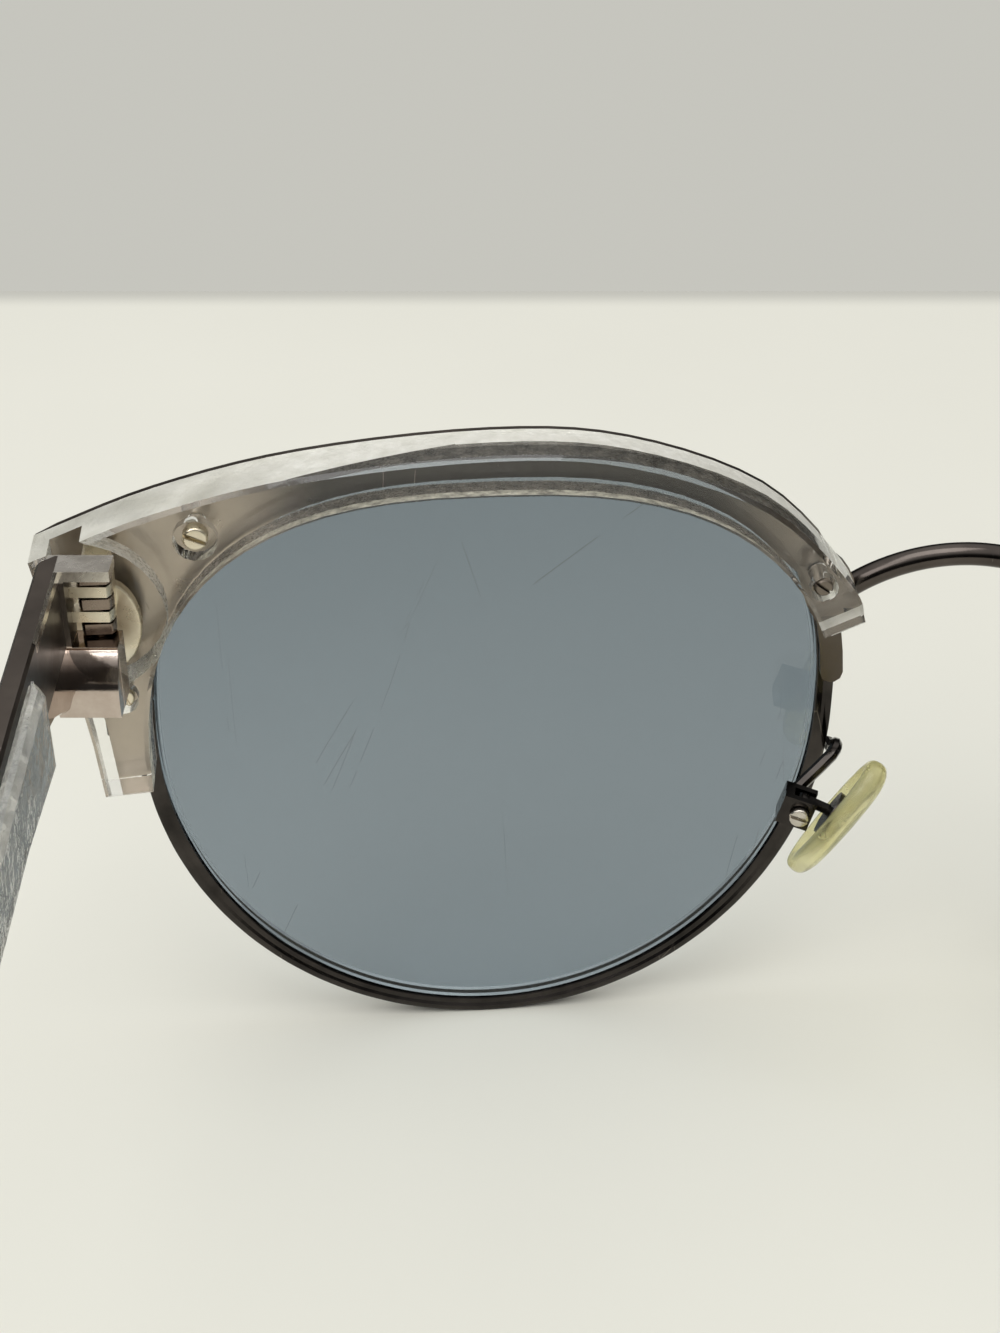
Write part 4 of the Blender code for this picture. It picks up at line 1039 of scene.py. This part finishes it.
def makeTable():
    look = tableLook
    deselectAll()
    wide, deep = look["size"]
    bpy.ops.mesh.primitive_plane_add(size=1, location=(0, look["farEdge"] + deep / 2, 0))
    table = bpy.context.active_object
    table.scale = (wide, deep, 1)
    bpy.ops.object.transform_apply(location=True, rotation=True, scale=True)
    table.name = "table"
    material, tree, shader = newMaterial("table")
    shader.inputs["Roughness"].default_value = look["roughness"]
    shader.inputs["Specular IOR Level"].default_value = look["specular"]
    darker = tuple(part * look["darker"] for part in look["colour"])
    tone = placeGroup(tree, grainGroup, {"Scale": look["grain"]})
    base = mixColours(tree, darker, look["colour"], tone)
    ends = (look["farEdge"], look["farEdge"] + look["edgeWide"])
    fade = riseBetween(tree, placeAlong(tree, "Y"), ends)
    edge = mixColours(tree, look["edgeColour"], base, fade)
    tree.links.new(edge, shader.inputs["Base Color"])
    table.data.materials.append(material)


lamps = {
    "overhead": {"place": (0.05, 0.12, 0.80), "aim": (0, -0.02, 0.02), "size": 0.55, "power": 2.1},
    "window": {"place": (0.45, 0.45, 0.60), "aim": (0.02, -0.03, 0.03), "size": 0.45, "power": 1.4},
}


def makeLamps():
    for name, look in lamps.items():
        deselectAll()
        bpy.ops.object.light_add(type="AREA", location=look["place"])
        lamp = bpy.context.active_object
        lamp.name = name
        lamp.data.size = look["size"]
        lamp.data.energy = look["power"]
        towards = Vector(look["aim"]) - Vector(look["place"])
        lamp.rotation_euler = towards.to_track_quat("-Z", "Y").to_euler()


worldLook = {
    # height of the direction, then the strength of the light from there
    "light": ((0.0, 0.03), (0.34, 0.055), (0.57, 0.56), (0.78, 1.0), (1.0, 1.07)),
    # what lies behind the object, as the camera and the clear parts see it
    "back": ((0.0, 0.565), (0.15, 0.565), (0.8, 0.95)),
    "lightTint": (1.0, 0.995, 0.975), "backTint": (1.0, 0.992, 0.91),
}


def makeRamp(tree, height, stops):
    # a curve of greys over the height of the direction
    ramp = tree.nodes.new("ShaderNodeFloatCurve")
    points = ramp.mapping.curves[0].points
    top = max(strength for _, strength in stops)
    points[0].location = (stops[0][0], stops[0][1] / top)
    points[1].location = (stops[-1][0], stops[-1][1] / top)
    for place, strength in stops[1:-1]:
        points.new(place, strength / top)
    for point in points:
        point.handle_type = "AUTO_CLAMPED"
    ramp.mapping.update()
    tree.links.new(height, ramp.inputs["Value"])
    return mathNode(tree, "MULTIPLY", ramp.outputs["Value"], top)


def makeWorld():
    world = bpy.data.worlds.new("room")
    bpy.context.scene.world = world
    world.use_nodes = True
    tree = world.node_tree
    back = tree.nodes["Background"]
    back.inputs["Color"].default_value = (*worldLook["backTint"], 1.0)
    light = tree.nodes.new("ShaderNodeBackground")
    light.inputs["Color"].default_value = (*worldLook["lightTint"], 1.0)
    place = tree.nodes.new("ShaderNodeTexCoord")
    split = tree.nodes.new("ShaderNodeSeparateXYZ")
    tree.links.new(place.outputs["Generated"], split.inputs["Vector"])
    height = split.outputs["Z"]
    tree.links.new(makeRamp(tree, height, worldLook["light"]), light.inputs["Strength"])
    tree.links.new(makeRamp(tree, height, worldLook["back"]), back.inputs["Strength"])
    rays = tree.nodes.new("ShaderNodeLightPath")
    seen = mathNode(
        tree, "MAXIMUM", rays.outputs["Is Camera Ray"], rays.outputs["Is Transmission Ray"]
    )
    mix = tree.nodes.new("ShaderNodeMixShader")
    tree.links.new(seen, mix.inputs["Fac"])
    tree.links.new(light.outputs["Background"], mix.inputs[1])
    tree.links.new(back.outputs["Background"], mix.inputs[2])
    tree.links.new(mix.outputs["Shader"], tree.nodes["World Output"].inputs["Surface"])


cameraLook = {
    "place": (0.03423, 0.06107, 0.11960), "pitch": 34.0, "focal": 73.44, "sensor": 36.0,
    "nearest": 0.005,
}


def makeCamera():
    deselectAll()
    bpy.ops.object.camera_add(
        location=cameraLook["place"],
        rotation=(math.radians(90 - cameraLook["pitch"]), 0, math.pi),
    )
    camera = bpy.context.active_object
    camera.data.sensor_fit = "HORIZONTAL"
    camera.data.sensor_width = cameraLook["sensor"]
    camera.data.lens = cameraLook["focal"]
    camera.data.clip_start = cameraLook["nearest"]
    bpy.context.scene.camera = camera


makeTable()
makeLamps()
makeWorld()
makeCamera()
bpy.context.scene.view_settings.view_transform = "Standard"
print("table, lamps and camera made")
